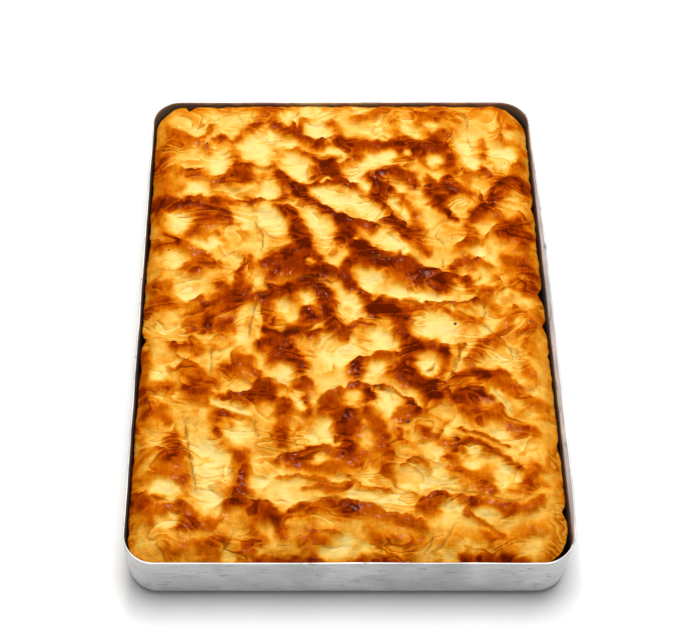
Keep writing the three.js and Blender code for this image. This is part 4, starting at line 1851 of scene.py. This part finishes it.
@dataclass
class BakingTin:
    """The rectangular baking tin: one pressed sheet with rounded corners and a plain cut rim.

    Attributes:
        low: The lowest corner of its box, mm.
        high: The highest corner of its box, mm.
        sheet: The sheet's thickness, mm.
        corner: The outer radius of its corners in plan, mm.
        base_round: The outer radius between wall and floor, mm.
        flare: How far the rim of the right wall is bent outwards, mm.
        flare_band: How far below the rim the bend starts, mm.
        dent: How far the walls are out of true elsewhere, mm.
        cut_edge: How far the rim's edges are worn round, mm.
    """

    low: np.ndarray
    high: np.ndarray
    sheet: float = 1.2
    corner: float = 22.0
    base_round: float = 7.0
    flare: float = 3.1
    flare_band: float = 3.0
    dent: float = 0.3
    cut_edge: float = 0.28

    def build(self, finish: bpy.types.Material) -> bpy.types.Object:
        """Models the tin.

        Args:
            finish: The sheet's material.

        Returns:
            The piece.
        """
        size = (self.high - self.low) * MM
        middle = (self.high + self.low) / 2 * MM
        piece = Bench.start(
            "baking_tin", bpy.ops.mesh.primitive_cube_add, size=1.0, location=tuple(middle), scale=tuple(size)
        )
        Bench.settle(piece)
        corner_x, corner_y = self.high[0] * MM, self.high[1] * MM
        Bench.pick(
            piece,
            Part.EDGES,
            lambda at: abs(abs(at.x) - corner_x) < HAIR and abs(abs(at.y) - corner_y) < HAIR,
        )
        bpy.ops.mesh.bevel(offset=self.corner * MM, segments=20, profile=0.5, affect="EDGES")
        top = self.high[2] * MM
        Bench.pick(piece, Part.FACES, lambda at: at.z > top - HAIR)
        bpy.ops.mesh.delete(type="ONLY_FACE")
        Bench.pick(piece, Part.EDGES, lambda at: at.z < HAIR)
        bpy.ops.mesh.bevel(offset=self.base_round * MM, segments=8, profile=0.5, affect="EDGES")
        self._cut_walls(piece)
        Bench.apply(piece, "SOLIDIFY", thickness=self.sheet * MM, offset=-1.0, use_even_offset=True)
        Bench.apply(
            piece,
            "BEVEL",
            width=self.cut_edge * MM,
            segments=3,
            limit_method="ANGLE",
            angle_limit=math.radians(60),
        )
        self._age(piece)
        Bench.smooth(piece, 50)
        Bench.hand_over(piece, "tin_sheet", finish, "tin")
        return piece

    def _cut_walls(self, piece: bpy.types.Object) -> None:
        """Cuts the walls and the floor across, so that they can flare and dent.

        Args:
            piece: The piece.
        """
        length = self.high[1] - self.corner
        cuts = [((0, y * MM, 0), (0, 1, 0)) for y in np.linspace(-length, length, 33)[1:-1]]
        width = self.high[0] - self.corner
        cuts += [((x * MM, 0, 0), (1, 0, 0)) for x in np.linspace(-width, width, 23)[1:-1]]
        levels = list(np.linspace(self.base_round, self.high[2], 6)[1:-1])
        levels += [self.high[2] - below_rim for below_rim in (3.8, 3.0, 2.2, 1.4, 0.7)]
        cuts += [((0, 0, z * MM), (0, 0, 1)) for z in levels]
        for place, normal in cuts:
            Bench.pick(piece, Part.FACES, lambda at: True)
            bpy.ops.mesh.bisect(plane_co=place, plane_no=normal)
        bpy.ops.mesh.select_all(action="SELECT")
        bpy.ops.mesh.remove_doubles(threshold=1e-6)
        bpy.ops.mesh.normals_make_consistent(inside=False)

    def _age(self, piece: bpy.types.Object) -> None:
        """Flares the right rim, dents the walls, and stores which faces look inwards and how deep they lie.

        Args:
            piece: The piece.
        """
        places = Bench.places(piece)
        x, y, z = places.T
        up = z / self.high[2]
        inset_x = self.high[0] - abs(x)
        inset_y = self.high[1] - abs(y)
        radial = np.hypot(
            np.maximum(0, abs(x) - (self.high[0] - self.corner)),
            np.maximum(0, abs(y) - (self.high[1] - self.corner)),
        )
        in_corner = (inset_x < self.corner) & (inset_y < self.corner)
        depth_in = np.where(in_corner, self.corner - radial, np.minimum(inset_x, inset_y))
        inside = (depth_in > 0.5 * self.sheet) & (z > 0.7 * self.sheet)
        stained = 1 - eased(0.94, 0.98, x / self.high[0]) * eased(self.high[2] - 4, self.high[2] - 2.5, z)
        along = eased(-self.high[1], -self.high[1] + 60, y) * eased(self.high[1] - 20, 60, y)
        bent = self.flare * along * eased(self.high[2] - self.flare_band, self.high[2] + 0.9, z)
        lean = -bent * eased(0.9, 0.98, x / self.high[0])
        noise = Lattice(41)
        uneven = self.dent * up * noise.at(x + 3 * y, y - x, 70.0)
        places[:, 0] = x - np.sign(x) * (lean + uneven * eased(0.8, 0.98, abs(x) / self.high[0]))
        places[:, 1] = y - np.sign(y) * uneven * eased(0.8, 0.98, abs(y) / self.high[1])
        Bench.move_to(piece, places)
        Bench.paint(piece, "inside", inside * stained)
        Bench.paint(piece, "depth", self.high[2] - z)


# ---- Small things on the pie --------------------------------------------------------------------------


@dataclass
class PepperSpecks:
    """Grains of pepper and scorched crumbs that lie on the pastry.

    Attributes:
        pie: The pie that they lie on.
        named: The largest ones: x, y and half size, mm.
        loose: How many smaller ones are scattered.
        half_size: The smaller ones' half sizes, from and to, mm.
        margin: How far in from the pie's edge they all lie, mm.
    """

    pie: FiloPie
    named: tuple[WidePlace, ...] = PEPPER
    loose: int = 46
    half_size: tuple[float, float] = (0.22, 0.5)
    margin: float = 8.0

    def build(self, crust: bpy.types.Object, finish: bpy.types.Material) -> bpy.types.Object:
        """Models one grain, copies it about and joins the copies.

        Args:
            crust: The pie's piece, which the grains lie on.
            finish: The grains' material.

        Returns:
            The piece.
        """
        draw = np.random.default_rng(12)
        grain = Bench.start(
            "pepper_specks", bpy.ops.mesh.primitive_ico_sphere_add, subdivisions=2, radius=1.0
        )
        Bench.pick(grain, Part.VERTICES, lambda at: at.z > 0.3)
        bpy.ops.transform.resize(value=(0.8, 0.7, 0.6), center_override=(0, 0, 0))
        bpy.ops.object.mode_set(mode="OBJECT")
        shape = Bench.places(grain) * MM
        spots = list(self.named)
        reach = np.array([self.pie.half_x, self.pie.half_y]) - self.margin
        while len(spots) < len(self.named) + self.loose:
            x, y = draw.uniform(-reach, reach)
            spots.append((x, y, draw.uniform(*self.half_size)))
        copies = []
        for x, y, half in spots:
            at = self.pie.middle[:2] * MM + np.array([x, y]) * MM
            hit, place, normal, _ = crust.ray_cast(Vector((*at, 0.2)), Vector((0, 0, -1)))
            if not hit:
                continue
            copy = grain.copy()
            copy.data = grain.data.copy()
            bpy.context.scene.collection.objects.link(copy)
            tilt = normal.to_track_quat("Z", "Y").to_matrix()
            turn = tilt @ Euler((0, 0, draw.uniform(0, 6.28))).to_matrix()
            size = np.array([draw.uniform(0.8, 1.5), draw.uniform(0.7, 1.0), draw.uniform(0.35, 0.6)]) * half
            jitter = 1 + 0.25 * draw.standard_normal((len(shape), 1)).clip(-1, 1)
            turned = (shape * jitter * size) @ np.array(turn).T
            Bench.move_to(copy, turned + np.array(place) / MM + np.array(normal) * 0.1 * half)
            copies.append(copy)
        Bench.clear()
        for copy in copies:
            copy.select_set(True)
        bpy.context.view_layer.objects.active = copies[0]
        bpy.ops.object.join()
        bpy.data.objects.remove(grain)
        piece = bpy.context.object
        piece.name = piece.data.name = "pepper_specks"
        Bench.smooth(piece, 40)
        Bench.hand_over(piece, "baked_pastry", finish)
        return piece


# ---- The studio ---------------------------------------------------------------------------------------


@dataclass(frozen=True)
class Studio:
    """A pale floor, soft light from above and behind, and the camera.

    Attributes:
        eye: Where the camera is, mm, from the middle of the tin's underside.
        tilt: How far it looks down, degrees.
        lens: Its focal length over a 36 mm sensor, mm.
        aside: How far the picture is shifted to frame the pie, as a share of its width.
        floor_half: Half the floor's side, mm.
    """

    eye: tuple[float, float, float] = (-30.1, -583.3, 940.8)
    tilt: float = 57.1
    lens: float = 74.4
    aside: float = 0.0664
    floor_half: float = 3000.0

    def add_camera(self) -> None:
        """Adds the camera and makes it the scene's."""
        bpy.ops.object.camera_add(
            location=[value * MM for value in self.eye], rotation=(math.radians(90 - self.tilt), 0, 0)
        )
        camera = bpy.context.object
        camera.data.lens = self.lens
        camera.data.sensor_width = 36.0
        camera.data.shift_x = self.aside
        camera.data.clip_start = 0.05
        bpy.context.scene.camera = camera

    def add_floor(self, finish: bpy.types.Material) -> None:
        """Lays the floor under the tin.

        Args:
            finish: The floor's material.
        """
        floor = Bench.start("floor", bpy.ops.mesh.primitive_plane_add, size=2 * self.floor_half * MM)
        Bench.settle(floor)
        floor.data.materials.append(finish)

    def add_light(self, name: str, place: WidePlace, side: float, power: float, tint: WidePlace) -> None:
        """Hangs a soft square light that looks at the pie.

        Args:
            name: Its name.
            place: Where it hangs, mm.
            side: Its side, mm.
            power: Its power, W.
            tint: Its colour.
        """
        at = Vector(place) * MM
        bpy.ops.object.light_add(type="AREA", location=at)
        light = bpy.context.object
        light.name = light.data.name = name
        light.rotation_euler = (Vector((0, 0, 0.04)) - at).to_track_quat("-Z", "Y").to_euler()
        light.data.shape = "SQUARE"
        light.data.size = side * MM
        light.data.energy = power
        light.data.color = tint

    def set_air(self, strength: float) -> None:
        """Fills the room with pale light.

        Args:
            strength: How strong it is.
        """
        world = bpy.data.worlds.new("pale_room")
        world.use_nodes = True
        background = world.node_tree.nodes["Background"]
        background.inputs["Color"].default_value = (1.0, 1.0, 1.0, 1.0)
        background.inputs["Strength"].default_value = strength
        bpy.context.scene.world = world
        bpy.context.scene.view_settings.view_transform = "Standard"

    def build(self, effects: SharedEffects) -> None:
        """Sets the whole studio up.

        Args:
            effects: The shared effects.
        """
        Bench.clear()
        self.add_camera()
        paper = PlainFinish("white_paper", "#fbfbfb", "#f9f9f8", 0.9, 4.0, 0.0)
        self.add_floor(paper.build(effects))
        self.add_light("top_softbox", (60, 190, 1690), side=900, power=29.5, tint=(1.0, 1.0, 1.0))
        self.add_light("back_softbox", (-100, 1200, 1250), side=200, power=7.0, tint=(1.0, 0.88, 0.72))
        self.set_air(strength=0.24)


def box_mm(node: str) -> tuple[np.ndarray, np.ndarray]:
    """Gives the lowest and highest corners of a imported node, mm."""
    low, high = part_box(node)
    return np.array(low) / MM, np.array(high) / MM


def main() -> None:
    """Builds the pie, its tin and the studio."""
    logging.basicConfig(level=logging.INFO, format="%(name)s: %(message)s")
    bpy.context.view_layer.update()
    effects = SharedEffects()
    studio = Studio()
    studio.build(effects)
    tin = BakingTin(*box_mm("tin"))
    tin.build(TinSheet().build(effects))
    pie = FiloPie(*box_mm("pie"))
    crust = pie.build(BakedPastry().build(effects))
    pepper = PlainFinish("pepper", "#20140d", "#3a2415", 0.6, 900.0, 0.1)
    PepperSpecks(pie).build(crust, pepper.build(effects))
    Bench.clear()


if __name__ == "__main__":
    main()
